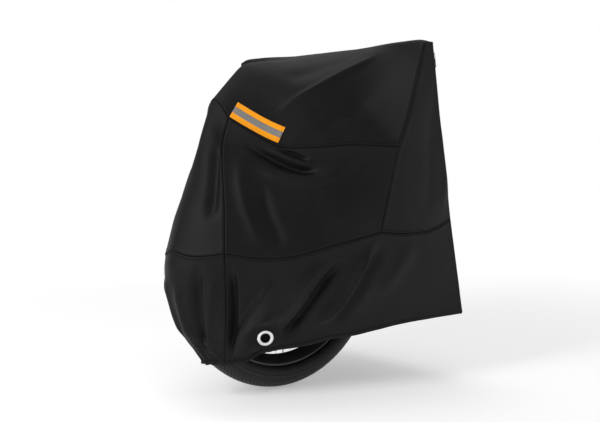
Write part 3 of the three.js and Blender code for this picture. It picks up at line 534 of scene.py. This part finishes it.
BUTYL = plain("butyl_rubber", (0.006, 0.006, 0.006), (0.012, 0.012, 0.012), (0.45, 0.6), 0, 50, 0.0002)
GRIP = plain("grip_rubber", (0.012, 0.012, 0.013), (0.022, 0.022, 0.023), (0.7, 0.85), 0, 120, 0.0005, 0.3)
VINYL = plain("grained_vinyl", (0.013, 0.013, 0.015), (0.022, 0.022, 0.024), (0.42, 0.6), 0, 70, 0.0006, 0.4)
SLOT_FINISH = {"cloth": CLOTH, "binding": BINDING, "tyre": TYRE, "butyl": BUTYL, "black": SATIN_BLACK,
               "alloy": ALLOY, "steel": STEEL, "plastic": PLASTIC, "grip": GRIP, "vinyl": VINYL,
               "orange": ORANGE, "reflective": TAPE, "zinc": NICKEL}
for part in frame["record"]["subparts"]:
    node = frame["nodes"][part["node"]]
    for material_slot in node.material_slots:
        material_slot.material = SLOT_FINISH[part["material_slot"]]


# ------------ mesh helpers
def mesh_object(name, points_mm, faces, material, body, uv=None, smooth=True, attributes=None):
    me = bpy.data.meshes.new(name)
    me.from_pydata([tuple(p) for p in np.asarray(points_mm, float) * MM], [], faces)
    if uv is not None:
        layer = me.uv_layers.new(name="UVMap")
        index = np.empty(len(me.loops), np.int32)
        me.loops.foreach_get("vertex_index", index)
        layer.data.foreach_set("uv", np.asarray(uv, np.float32)[index].ravel())
    for key, values in (attributes or {}).items():
        a = me.attributes.new(key, "FLOAT", "POINT")
        a.data.foreach_set("value", np.asarray(values, np.float32))
    me.polygons.foreach_set("use_smooth", [smooth] * len(me.polygons))
    me.materials.append(material)
    me.update()
    o = bpy.data.objects.new(name, me)
    bpy.context.scene.collection.objects.link(o)
    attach(o, body)
    return o


def grid_faces(nu, nv, ring_u=False, ring_v=False):
    """Quads over an nu by nv grid of points, joined round to the start along u or v if asked."""
    return [(i * nv + j, (i + 1) % nu * nv + j, (i + 1) % nu * nv + (j + 1) % nv, i * nv + (j + 1) % nv)
            for i in range(nu if ring_u else nu - 1) for j in range(nv if ring_v else nv - 1)]


def turned(faces):
    """The faces, each with its other side out."""
    return [f[::-1] for f in faces]


def other_side(quads):
    """The quads, each with its other side out and the same first corner."""
    return [(a, d, c, b) for a, b, c, d in quads]


def facing(faces, points, out):
    """The faces, turned so that the middle one looks towards `out`."""
    a, b, c = (points[k] for k in faces[len(faces) // 2][:3])
    return faces if np.dot(np.cross(b - a, c - b), out) > 0 else turned(faces)


def around(count):
    return np.linspace(0, 2 * math.pi, count, endpoint=False)


def spun(profile, segments):
    """A ring of points about the Y axis for each (radius, y) point: result[segment, point]."""
    a = around(segments)
    return np.stack([np.outer(np.cos(a), profile[:, 0]), np.tile(profile[:, 1], (segments, 1)),
                     np.outer(np.sin(a), profile[:, 0])], axis=-1)


def lathe(name, profile, segments, material, body, centre=(0, 0, AXLE_Z), over=None, round_r=None):
    """A smooth ring about the Y axis from (radius, y) points. Its UVs run round it, at round_r, and over it."""
    profile = np.array(profile, float)
    n = len(profile)
    faces = other_side(grid_faces(segments, n, True, True))
    u = around(segments) * (round_r or profile[:, 0].max())
    v = run_along(profile) if over is None else over
    uv = np.stack([np.repeat(u, n), np.tile(v, segments)], axis=-1)
    points = spun(profile, segments).reshape(-1, 3) + np.array(centre)
    return mesh_object(name, points, faces, material, body, uv)


def tube(name, path, radius, sides, material, body):
    """A round tube along a level path, with flat ends."""
    n = len(path)
    tangent = unit(np.gradient(path, axis=0))
    side = unit(np.cross(tangent, [0.0, 0.0, 1.0]))
    other = np.cross(side, tangent)
    a = around(sides)
    r = np.broadcast_to(radius, n)[:, None, None]
    circle = np.cos(a)[None, :, None] * side[:, None] + np.sin(a)[None, :, None] * other[:, None]
    points = (path[:, None] + r * circle).reshape(-1, 3)
    faces = other_side(grid_faces(n, sides, ring_v=True))
    faces += [tuple(range(sides))[::-1], tuple((n - 1) * sides + j for j in range(sides))]
    uv = np.stack([np.tile(a * np.max(radius), n), np.repeat(run_along(path), sides)], axis=-1)
    return mesh_object(name, points, faces, material, body, uv)


def add_modifier(o, kind, **settings):
    m = o.modifiers.new(kind.lower(), kind)
    for k, v in settings.items():
        setattr(m, k, v)


# ------------ cover panels
def mirror_whole(half):
    """A right-hand grid joined to its mirror image across y = 0; half[0] lies on y = 0."""
    left = half[1:][::-1] * ACROSS
    return np.concatenate([left, half])


def relax(grid, rounds):
    """Smooths the inside of a grid and keeps its edges."""
    g = grid.copy()
    for _ in range(rounds):
        beside_it = g[:-2, 1:-1] + g[2:, 1:-1] + g[1:-1, :-2] + g[1:-1, 2:]
        g[1:-1, 1:-1] = 0.5 * g[1:-1, 1:-1] + 0.125 * beside_it
    return g


panels = {}


def panel(name, grid, replaces, topstitch=False, hole=None):
    """One cloth panel from a grid of points on the smooth form, open at an eyelet's place if it has one."""
    nu, nv = grid.shape[:2]
    flat = grid.reshape(-1, 3)
    points, seam_d = shaped(flat)
    far = 99.0
    top_d = np.array([TOP_TREE.find(v)[2] for v in flat]) if topstitch else np.full(len(flat), far)
    u, v = run_along(grid[:, nv // 2]), run_along(grid[nu // 2])
    uv = np.stack([np.repeat(u, nv), np.tile(v, nu)], axis=-1)
    faces = grid_faces(nu, nv)
    middle = faces[len(faces) // 2][0]
    faces = facing(faces, points, outwards(points[[middle]])[0])
    if hole is not None:
        faces = [f for f in faces if np.linalg.norm(points[list(f)].mean(0) - hole) > EYELET_HOLE_R]
    o = mesh_object(name, points, faces, CLOTH, "cover", uv,
                    attributes={"seam_mm": seam_d, "topstitch_mm": top_d})
    add_modifier(o, "SOLIDIFY", thickness=CLOTH_MM * MM, offset=-1.0)
    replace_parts(o, *replaces)
    panels[name] = o


def tail_panel(part, **more):
    """The tail's upper or lower panel, from rows round it, close together beside the edge seam."""
    middle, edge = SEAMS[f"middle_{part}"], SEAMS[f"edge_{part}"]
    down = fractions(length_of(edge))
    out = np.concatenate([np.linspace(0, 1, 34)[:-1], [0.982, 0.992, 1.0]])
    rows = [tail_row(m, e, out) for m, e in zip(sample(middle, down), sample(edge, down))]
    panel(f"tail_{part}_panel", mirror_whole(np.stack(rows, axis=1)), [f"cover_tail_{part}"], **more)


def yoke_grid():
    """The yoke's right half: over the bar, then from the middle line over the fold to the seams."""
    fold_at, seam_at = 5, 8                # where the fold and the outer seams are, counted in columns
    sash_share = 1 / 3                     # how much of the outer edge is the sash
    columns = np.concatenate([np.linspace(0, 7.8, 76), [7.84, 7.88, 7.92, 7.95, 7.975, seam_at]])
    over_bar = np.linspace(0, 1, 13)
    below = np.concatenate([np.linspace(0, 1, 92)[1:-1], [0.9925, 0.996, 1.0]])
    middle, fold = sample(SEAMS["yoke_middle"], below), sample(SEAMS["yoke_fold"], below)
    sash = sample(SEAMS["sash_top"], np.clip(below / sash_share, 0, 1))
    side = sample(SEAMS["yoke_side"][::-1], np.clip((below - sash_share) / (1 - sash_share), 0, 1))
    edge = np.where((below < sash_share)[:, None], sash, side)
    out = []
    for c in columns:
        top = arch_point(np.full(len(over_bar), ARCH_END * c / seam_at), over_bar)
        if c <= fold_at:
            t = c / fold_at
            rows = np.stack([lerp(middle[:, 0], fold[:, 0], t), fold[:, 1] * t,
                             lerp(middle[:, 2], fold[:, 2], t ** 1.7)], axis=-1)
            w = 0.55 * t
        else:
            t = (c - fold_at) / (seam_at - fold_at)
            rows = lerp(fold, edge, t)
            w = 0.55 + 0.45 * t
        foot = tail_row(SEAMS["middle_upper"][0], SEAMS["edge_upper"][0], [w])[0]
        settle = smoothstep(below, 0.86, 1)[:, None] if c < seam_at else (below >= 1)[:, None]
        rows = lerp(rows, rows - rows[-1] + foot, settle)
        out.append(np.vstack([top, rows]))
    return np.array(out)


def side_pair(name, grid, replaces, hole=None, **more):
    """A panel on the right-hand side and its mirror image on the left."""
    for side, mirror in (("right", 1), ("left", ACROSS)):
        at = None if hole is None else hole * mirror
        panel(f"{name}_{side}", grid * mirror, [f"{replaces}_{side}"], hole=at, **more)


def grid_between(top, bottom, left, right):
    us = fractions((length_of(top) + length_of(bottom)) / 2)
    vs = fractions((length_of(left) + length_of(right)) / 2)
    return coons(top, bottom, left, right, us, vs)


tail_panel("upper")
tail_panel("lower", topstitch=True)
panel("yoke_panel", relax(mirror_whole(yoke_grid()), 10), ["cover_yoke"], topstitch=True)
arch_front = arch_point(np.linspace(0, ARCH_END, 60), np.zeros(60))
arch_side = arch_point(np.full(30, ARCH_END), np.linspace(1, 0, 30))
front_upper = grid_between(arch_front, SEAMS["front_waist"], SEAMS["front_middle"], SEAMS["corner"])
middle_line = np.array([SEAMS["front_waist"][0], SEAMS["front_hem"][0]])
front_lower = grid_between(SEAMS["front_waist"], SEAMS["front_hem"], middle_line, SEAMS["corner_lower"])
panel("front_upper_panel", mirror_whole(front_upper), ["cover_front_upper"])
panel("front_lower_panel", mirror_whole(front_lower), ["cover_front_lower"], topstitch=True)
side_pair("side_upper_panel", grid_between(SEAMS["yoke_side"], SEAMS["waist_side"], SEAMS["edge_upper"],
                                           SEAMS["sash_foot"]), "cover_side_upper")
side_pair("side_lower_panel", grid_between(chain("waist_side", "waist_front"), SEAMS["hem_side"],
                                           SEAMS["edge_lower"], SEAMS["corner_lower"]), "cover_side_lower",
          topstitch=True, hole=EYELET_AT)
side_pair("gusset_panel", grid_between(arch_side, SEAMS["waist_front"], chain("sash_top", "sash_foot"),
                                       SEAMS["corner"]), "cover_gusset", topstitch=True)


# ------------ hem
def hem():
    """The elastic hem: a rounded band under the panels' lower edge, all round the mouth."""
    tail = tail_row(SEAMS["middle_lower"][-1], SEAMS["edge_lower"][-1], np.linspace(0, 1, 14))
    side = sample(SEAMS["hem_side"], np.linspace(0, 1, 190))
    front = sample(SEAMS["front_hem"][::-1], np.linspace(0, 1, 60))
    half = np.vstack([tail, side[1:], front[1:]])
    loop = np.vstack([half, half[1:-1][::-1] * ACROSS])
    shaped_loop, _ = shaped(loop)
    inwards = unit(np.array([40.0, 0.0, 0.0]) - shaped_loop * [1, 1, 0])
    section = [(-0.3, 0.6), (-0.9, -1.5), (-1.0, -5), (-0.6, -8.4), (0.8, -HEM_HEIGHT), (2.4, -8.6),
               (2.8, -5), (2.6, -1.5), (1.8, 0.6)]
    pts = np.stack([shaped_loop + inwards * a + np.array([0, 0, b]) for a, b in section], axis=1)
    n, k = len(loop), len(section)
    uv = np.stack([np.repeat(run_along(loop), k), np.tile(np.arange(k) * 2.5, n)], axis=-1)
    faces = turned(grid_faces(n, k, True, True))
    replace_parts(mesh_object("hem", pts.reshape(-1, 3), faces, BINDING, "cover", uv), "hem_band")


hem()


# ------------ stitching
THREAD_LIFT = 0.5                 # of a thread's middle over the cloth
STITCH_FACES = other_side(grid_faces(4, 4, ring_v=True)) + [(3, 2, 1, 0), (12, 13, 14, 15)]


def stitches(name, places, material, pitch=4.6, stitch=3.2, radius=0.42):
    """Thread along lines on the cloth: each place is (points, outward directions)."""
    pts, faces = [], []
    for line, out in places:
        n = max(2, int(length_of(line) / pitch))
        middles = np.arange(n) + 0.5
        starts = sample(line, (middles - stitch / pitch / 2) / n)
        ends = sample(line, (middles + stitch / pitch / 2) / n)
        for p, q, w in zip(starts, ends, sample_vectors(line, out, middles / n)):
            t = q - p
            t /= np.linalg.norm(t) + 1e-9
            s = np.cross(t, w)
            s /= np.linalg.norm(s) + 1e-9
            faces += [tuple(len(pts) + k for k in f) for f in STITCH_FACES]
            crown = (p * 0.7 + q * 0.3, radius), (p * 0.3 + q * 0.7, radius)
            for at, lift in ((p, -0.25), *crown, (q, -0.25)):
                for x, y in ((1, 0), (0, 1), (-1, 0), (0, -1)):
                    pts.append(at + s * x * radius + w * (y * radius * 0.8 + lift))
    mesh_object(name, pts, faces, material, "cover")


def sample_vectors(line, vectors, ts):
    s = run_along(line)
    s /= max(1e-9, s[-1])
    return unit(np.stack([np.interp(ts, s, vectors[:, k]) for k in range(3)], axis=-1))


CLOTH_TREES = {name: BVHTree.FromPolygons([v.co for v in o.data.vertices],
                                          [p.vertices for p in o.data.polygons])
               for name, o in panels.items()}


def on_cloth(points):
    """Points dropped on to the nearest cloth, with the way out of it there."""
    placed, outs = [], []
    reach = 0.03
    for p in points:
        found = [t.find_nearest(Vector(p * MM), reach) for t in CLOTH_TREES.values()]
        found = [f for f in found if f[0] is not None]
        at, normal = min(found, key=lambda f: f[3])[:2] if found else (Vector(p * MM), Vector((0, 0, 1)))
        normal = np.array(normal)
        if np.dot(normal, outwards(np.array(at)[None] / MM)[0]) < 0:
            normal = -normal
        placed.append(np.array(at) / MM + normal * THREAD_LIFT)
        outs.append(normal)
    return np.array(placed), np.array(outs)


def beside(seam, offset, towards):
    """A line on the cloth that follows a seam at a distance, on the side of the point `towards`."""
    line = sample(seam, np.linspace(0, 1, 90))
    across = unit(np.cross(unit(np.gradient(line, axis=0)), outwards(line)))
    middle = len(line) // 2
    if np.dot(across[middle], np.array(towards) - line[middle]) < 0:
        across = -across
    return on_cloth((line + across * offset)[3:-3])


def topstitching():
    """Two rows of thread beside the waist, sash and yoke seams, on both halves."""
    seams = ((SEAMS["waist_side"], (0, -250, 300)), (SEAMS["waist_front"], (300, -300, 350)),
             (SEAMS["sash_top"], (200, -380, 800)), (SEAMS["sash_foot"], (200, -330, 560)),
             (SEAMS["yoke_side"], (0, -200, 800)), (SEAMS["front_waist"], (400, -150, 350)),
             (tail_seam("lower"), (-390, -60, 330)))
    right = [beside(seam, offset, towards) for seam, towards in seams for offset in (1.9, 6.4)]
    stitches("topstitching_right", right, THREAD)
    stitches("topstitching_left", [(on_cloth(p * ACROSS)[0], out * ACROSS) for p, out in right], THREAD)


topstitching()


# ------------ reflector tabs
def tab(side):
    """A tab of orange webbing laid on the yoke and sewn down, with a reflective strip along its middle."""
    mirror = ACROSS if side == "left" else 1
    corners = TAB_CORNERS * mirror
    inwards = unit(np.array([0.56, 0.72, -0.41]) * mirror)
    us, vs = np.linspace(0, 1, 45), np.linspace(0, 1, 17)
    width, height = np.linalg.norm(corners[1] - corners[0]), np.linalg.norm(corners[3] - corners[0])

    def layer(name, grid, vs, material, slot_name, thickness):
        uv = np.stack([np.repeat(us * width, len(vs)), np.tile(vs * height, len(us))], axis=-1)
        points = grid.reshape(-1, 3)
        faces = facing(grid_faces(len(us), len(vs)), points, -inwards)
        o = mesh_object(name, points, faces, material, "cover", uv)
        add_modifier(o, "SOLIDIFY", thickness=thickness * MM, offset=-1.0)
        return o

    web = np.empty((len(us), len(vs), 3))
    for i, u in enumerate(us):
        for j, v in enumerate(vs):
            p = lerp(lerp(corners[0], corners[1], u), lerp(corners[3], corners[2], u), v)
            p = p - np.array([0, 0, TAB_SAG * 4 * u * (1 - u)])
            hit = CLOTH_TREES["yoke_panel"].ray_cast(Vector((p - inwards * 120) * MM), Vector(inwards))[0]
            web[i, j] = np.array(hit) / MM if hit is not None else p
    for _ in range(6):
        web[1:-1] = 0.5 * web[1:-1] + 0.25 * (web[:-2] + web[2:])
        web[:, 1:-1] = 0.5 * web[:, 1:-1] + 0.25 * (web[:, :-2] + web[:, 2:])
    web = web - inwards * 2.4
    o = layer(f"tab_{side}", web, vs, ORANGE, "orange", 1.8)
    add_modifier(o, "BEVEL", width=0.5 * MM, segments=2)
    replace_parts(o, f"reflector_tab_{side}")
    strip_vs = np.linspace(0.31, 0.69, 9)
    k = strip_vs * (len(vs) - 1)
    row = k.astype(int)
    tape = lerp(web[:, row], web[:, row + 1], (k - row)[:, None]) - inwards * 0.7
    t = layer(f"tape_{side}", tape, strip_vs, TAPE, "reflective", 0.6)
    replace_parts(t, f"reflective_strip_{side}")
    rows = [(web[i], 0.5) for i in (2, 42)] + [(web[2:43, j], 0.3) for j in (1, 15)]
    places = [(r - inwards * lift, np.tile(-inwards, (len(r), 1))) for r, lift in rows]
    stitches(f"tab_stitching_{side}", places, ORANGE_THREAD, 3.6, 2.6, 0.4)


tab("left")
tab("right")


# ------------ eyelets
def eyelet(side):
    """A nickel ring through the lower side panel, with a black disc of cloth that closes its hole behind:
    painted shade standing in for the dark inside of the cover.
    """
    mirror = ACROSS if side == "left" else 1
    lip = [(18.1 + 4.6 * math.cos(a), 1.2 + 2.2 * math.sin(a)) for a in np.linspace(0, math.pi, 15)]
    barrel = [(13.5, 0.2), (13.5, -5), (14.6, -5), (14.8, 0.2), (16, 0.6), (21.6, 0.6)]
    ring = lathe(f"eyelet_ring_{side}", lip + barrel, 72, NICKEL, "cover", centre=(0, 0, 0))
    turn = Vector((0, 1, 0)).rotation_difference(Vector(EYELET_OUT * mirror).normalized())
    place = Matrix.Translation(Vector(EYELET_AT * mirror) * MM) @ turn.to_matrix().to_4x4()
    ring.data.transform(place)
    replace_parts(ring, f"eyelet_{side}")
    # the hole is closed behind by a black disc of cloth: painted shade for the dark inside of the cover
    n = 40
    shade_disc_profile = np.array([(14.4, -3.0), (14.4, -4.0), (7, -4.8), (7, -3.8)])
    pts = np.vstack([spun(shade_disc_profile, n).reshape(-1, 3), [(0, -4.0, 0), (0, -5.0, 0)]])
    faces = []
    for i in range(n):
        k, l = i * 4, (i + 1) % n * 4
        faces += [(k, l, l + 1, k + 1), (k + 1, l + 1, l + 2, k + 2), (k + 3, l + 3, l, k),
                  (k + 3, n * 4, l + 3), (k + 2, l + 2, n * 4 + 1)]
    shade_disc = mesh_object(f"eyelet_shade_disc_{side}", pts, faces, CLOTH, "cover", pts[:, [0, 2]])
    shade_disc.data.transform(place)


eyelet("left")
eyelet("right")


# ------------ zip
def zip_teeth():
    """The zip: a tape down the corner of the front panel with two rows of moulded teeth."""
    start, end = SEAMS["corner"]
    along = unit(end - start)
    across = unit(np.array([0, 1.0, 0]) - along * along[1])
    out = np.cross(along, across)
    origin = lerp(start, end, 0.035) + np.array([0, ZIP_INBOARD, 0])
    run = np.linalg.norm(end - start) * 0.915
    pitch, tape_half, under, tape_top, tooth_top, stop_top = 3.0, 3.5, 2.2, 2.9, 4.5, 4.7
    pts, faces = [], []

    def brick(x0, x1, y0, y1, z0, z1):
        base = len(pts)
        for x, y, z in ((x0, y0, z0), (x1, y0, z0), (x1, y1, z0), (x0, y1, z0),
                        (x0, y0, z1), (x1, y0, z1), (x1, y1, z1), (x0, y1, z1)):
            pts.append(origin + along * x + across * y + out * z)
        for f in ((0, 3, 2, 1), (4, 5, 6, 7), (0, 1, 5, 4), (1, 2, 6, 5), (2, 3, 7, 6), (3, 0, 4, 7)):
            faces.append(tuple(base + k for k in f))

    brick(0, run, -tape_half, tape_half, under, tape_top)
    for i in range(int(run / pitch)):
        x = i * pitch + 0.6
        brick(x, x + 1.7, -3.1, 0.4, tape_top, tooth_top)
        brick(x + 1.5, x + 3.0, -0.4, 3.1, tape_top, tooth_top)
    for low, high in ((-1.5, 0), (run, run + 2)):
        brick(low, high, -tape_half, tape_half, under, stop_top)
    o = mesh_object("zip_teeth", pts, faces, PLASTIC, "cover", smooth=False)
    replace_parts(o, "zip_chain")


zip_teeth()


# ------------ wheel
def tyre():
    """The carcass: a round section, a little flatter over the tread, open towards the rim."""
    centre_r, outer_r, inner_r, segments = WHEEL_R - TYRE_HALF, TYRE_HALF - 0.2, 32, 180
    outer_a, inner_a = np.radians(np.linspace(-138, 138, 61)), np.radians(np.linspace(138, -138, 31))
    flatter = outer_r * (1 - 0.016 * np.exp(-(outer_a / 0.5) ** 2))
    outer = np.stack([centre_r + flatter * np.cos(outer_a), outer_r * np.sin(outer_a)], axis=-1)
    inner = np.stack([centre_r + inner_r * np.cos(inner_a), inner_r * np.sin(inner_a)], axis=-1)
    over = np.concatenate([outer_a * TYRE_HALF, np.full(len(inner), 85.0)])
    profile = np.vstack([outer, inner])
    o = lathe("tyre_carcass", profile, segments, TYRE, "wheel", over=over, round_r=WHEEL_R)
    # the last strip of faces goes back to the start, so its UVs are carried on round instead
    layer = o.data.uv_layers[0].data
    full = 2 * math.pi * WHEEL_R
    for poly in o.data.polygons[(segments - 1) * len(profile):]:
        for k in poly.loop_indices:
            if layer[k].uv.x < full / 4:
                layer[k].uv.x += full
    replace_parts(o, "tyre")


def rim():
    """The hoop: a deep V with an even wall and hooked edges for the tyre."""
    outer = [(RIM_INNER_R, 3.0), (RIM_INNER_R + 2, 6), (RIM_R - 9, RIM_HALF - 1.2), (RIM_R - 7, RIM_HALF),
             (RIM_R - 1, RIM_HALF), (RIM_R, RIM_HALF - 0.8), (RIM_R, RIM_HALF - 2.2),
             (RIM_R - 1, RIM_HALF - 3), (RIM_R - 9, RIM_HALF - 3), (RIM_INNER_R + 6, 3)]
    profile = [(r, -y) for r, y in outer] + outer[::-1]
    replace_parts(lathe("rim_hoop", profile, 180, SATIN_BLACK, "wheel"), "rim")


tyre()
rim()


# ------------ handlebar, grips and saddle
def handlebar():
    """The bar, whose ends are higher than its middle, and its ribbed rubber grips."""
    def on_bar(ys, zs):
        return np.stack([np.full(len(ys), BAR_X), ys, zs], axis=-1)

    ys = np.linspace(-BAR_HALF, BAR_HALF, 90)
    zs = BAR_Z + BAR_RISE * smoothstep(np.abs(ys), 60, 200)
    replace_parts(tube("handlebar_tube", on_bar(ys, zs), BAR_R, 28, SATIN_BLACK, "seat"), "handlebar")
    run = np.linspace(0, GRIP_L + 5, 134)
    rib_pitch, rib_height, collar = 6.6, 0.9, 7
    radius = GRIP_R - rib_height + rib_height * (np.sin(run * 2 * math.pi / rib_pitch) > -0.2)
    radius = np.where((run < collar) | (run > GRIP_L - 4), GRIP_R, radius)
    radius = np.where(run > GRIP_L + 3.5, GRIP_R - 1.2, radius)
    for side, s in (("left", 1), ("right", -1)):
        line = on_bar(s * (BAR_HALF - GRIP_L + run), np.full(len(run), BAR_Z + BAR_RISE))
        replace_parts(tube(f"rubber_grip_{side}", line, radius, 32, GRIP, "seat"), f"grip_{side}")


handlebar()


def saddle_half(x):
    """Half the saddle's width: wide at both ends, with a waist between them."""
    t = (x - SADDLE_FROM) / (SADDLE_TO - SADDLE_FROM)
    return (68 + 14 * np.cos(2 * np.pi * t)) * np.sqrt(np.maximum(0.02, 1 - np.abs(2 * t - 1) ** 5))


def saddle_top(x):
    return SADDLE_Z + 0.13 * (x + 5) + 0.0006 * (x + 20) ** 2


def saddle_loft(name, above, below, inset, material, power=3.2):
    """A closed rounded body that follows the saddle from `above` to `below` under its top."""
    rows, sides, drop = 44, 40, 8          # drop: how far the top falls to its edges
    length = SADDLE_TO - SADDLE_FROM - 2 * inset
    a = around(sides)
    c, s = np.cos(a), np.sin(a)
    h = (below - above) / 2
    pts = []
    for x in SADDLE_FROM + inset + length * (0.5 - 0.5 * np.cos(np.linspace(0, np.pi, rows))):
        w = max(2.0, saddle_half(x) - inset)
        y = w * np.sign(c) * np.abs(c) ** (2 / power)
        z = saddle_top(x) - above - h + h * np.sign(s) * np.abs(s) ** (2 / power)
        z = z - drop * (y / w) ** 4 * (s > 0)
        pts.append(np.stack([np.full(sides, x), y, z], axis=-1))
    faces = grid_faces(rows, sides, ring_v=True)
    faces += [tuple(range(sides)), tuple((rows - 1) * sides + j for j in range(sides))[::-1]]
    return mesh_object(name, np.vstack(pts), turned(faces), material, "seat")


pad = saddle_loft("saddle_cushion", 1, 33, 1, VINYL)
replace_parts(pad, "saddle_pad")
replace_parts(saddle_loft("saddle_shell", 37.5, 42.5, 7, PLASTIC, 5), "saddle_base")


# ------------ floor, light and camera
def floor_material():
    """A pale sweep that stays as light as the backdrop far from the object."""
    f = uneven("pale_floor", (0.88, 0.88, 0.885), (0.90, 0.90, 0.90), (0.55, 0.65), 0, 2, 0.0001, 0.2)
    far = f.nodes.new("ShaderNodeVectorMath")
    far.operation = "LENGTH"
    f.links.new(f.coords("Object"), far.inputs[0])
    f.surface(Emission_Color=(1, 1, 1, 1),
              Emission_Strength=f.map_range(far.outputs["Value"], 0.9, 4.0, 0.34, 0.62))
    return f.material


floor_mesh = bpy.data.meshes.new("floor")
floor_mesh.from_pydata([(-14, -14, 0), (14, -14, 0), (14, 14, 0), (-14, 14, 0)], [], [(0, 1, 2, 3)])
floor = bpy.data.objects.new("floor", floor_mesh)
bpy.context.scene.collection.objects.link(floor)
floor_mesh.materials.append(floor_material())

world = bpy.context.scene.world or bpy.data.worlds.new("studio")
bpy.context.scene.world = world
world.use_nodes = True
background = world.node_tree.nodes["Background"]
background.inputs["Color"].default_value = (1, 1, 1, 1)
seen = world.node_tree.nodes.new("ShaderNodeLightPath")
# the backdrop shows white, and lights the object at less than half that
strength = world.node_tree.nodes.new("ShaderNodeMapRange")
world.node_tree.links.new(seen.outputs["Is Camera Ray"], strength.inputs["Value"])
strength.inputs["To Min"].default_value = 0.42
strength.inputs["To Max"].default_value = 1.0
world.node_tree.links.new(strength.outputs[0], background.inputs["Strength"])


def area_light(name, at, look_at, size, power):
    data = bpy.data.lights.new(name, "AREA")
    data.shape = "RECTANGLE"
    data.size, data.size_y = size
    data.energy = power
    o = bpy.data.objects.new(name, data)
    bpy.context.scene.collection.objects.link(o)
    o.location = at
    o.rotation_euler = (Vector(look_at) - Vector(at)).to_track_quat("-Z", "Y").to_euler()


area_light("left_softbox", (-2.8, -0.3, 2.0), (0, 0, 0.5), (0.8, 1.5), 54)
area_light("right_softbox", (2.2, -2.4, 1.9), (0.1, 0, 0.5), (0.8, 1.8), 8)
area_light("top_softbox", (0.1, 0.5, 3.2), (0, 0, 0.4), (2.4, 2.0), 20)

camera_data = bpy.data.cameras.new("camera")
camera = bpy.data.objects.new("camera", camera_data)
bpy.context.scene.collection.objects.link(camera)
camera.location = (-1.724, -2.059, 0.686)
camera.rotation_euler = Vector((0.6546, 0.7531, -0.0663)).to_track_quat("-Z", "Y").to_euler()
camera_data.sensor_width = 36
camera_data.lens = 56.16
bpy.context.scene.camera = camera
bpy.context.scene.view_settings.view_transform = "Standard"
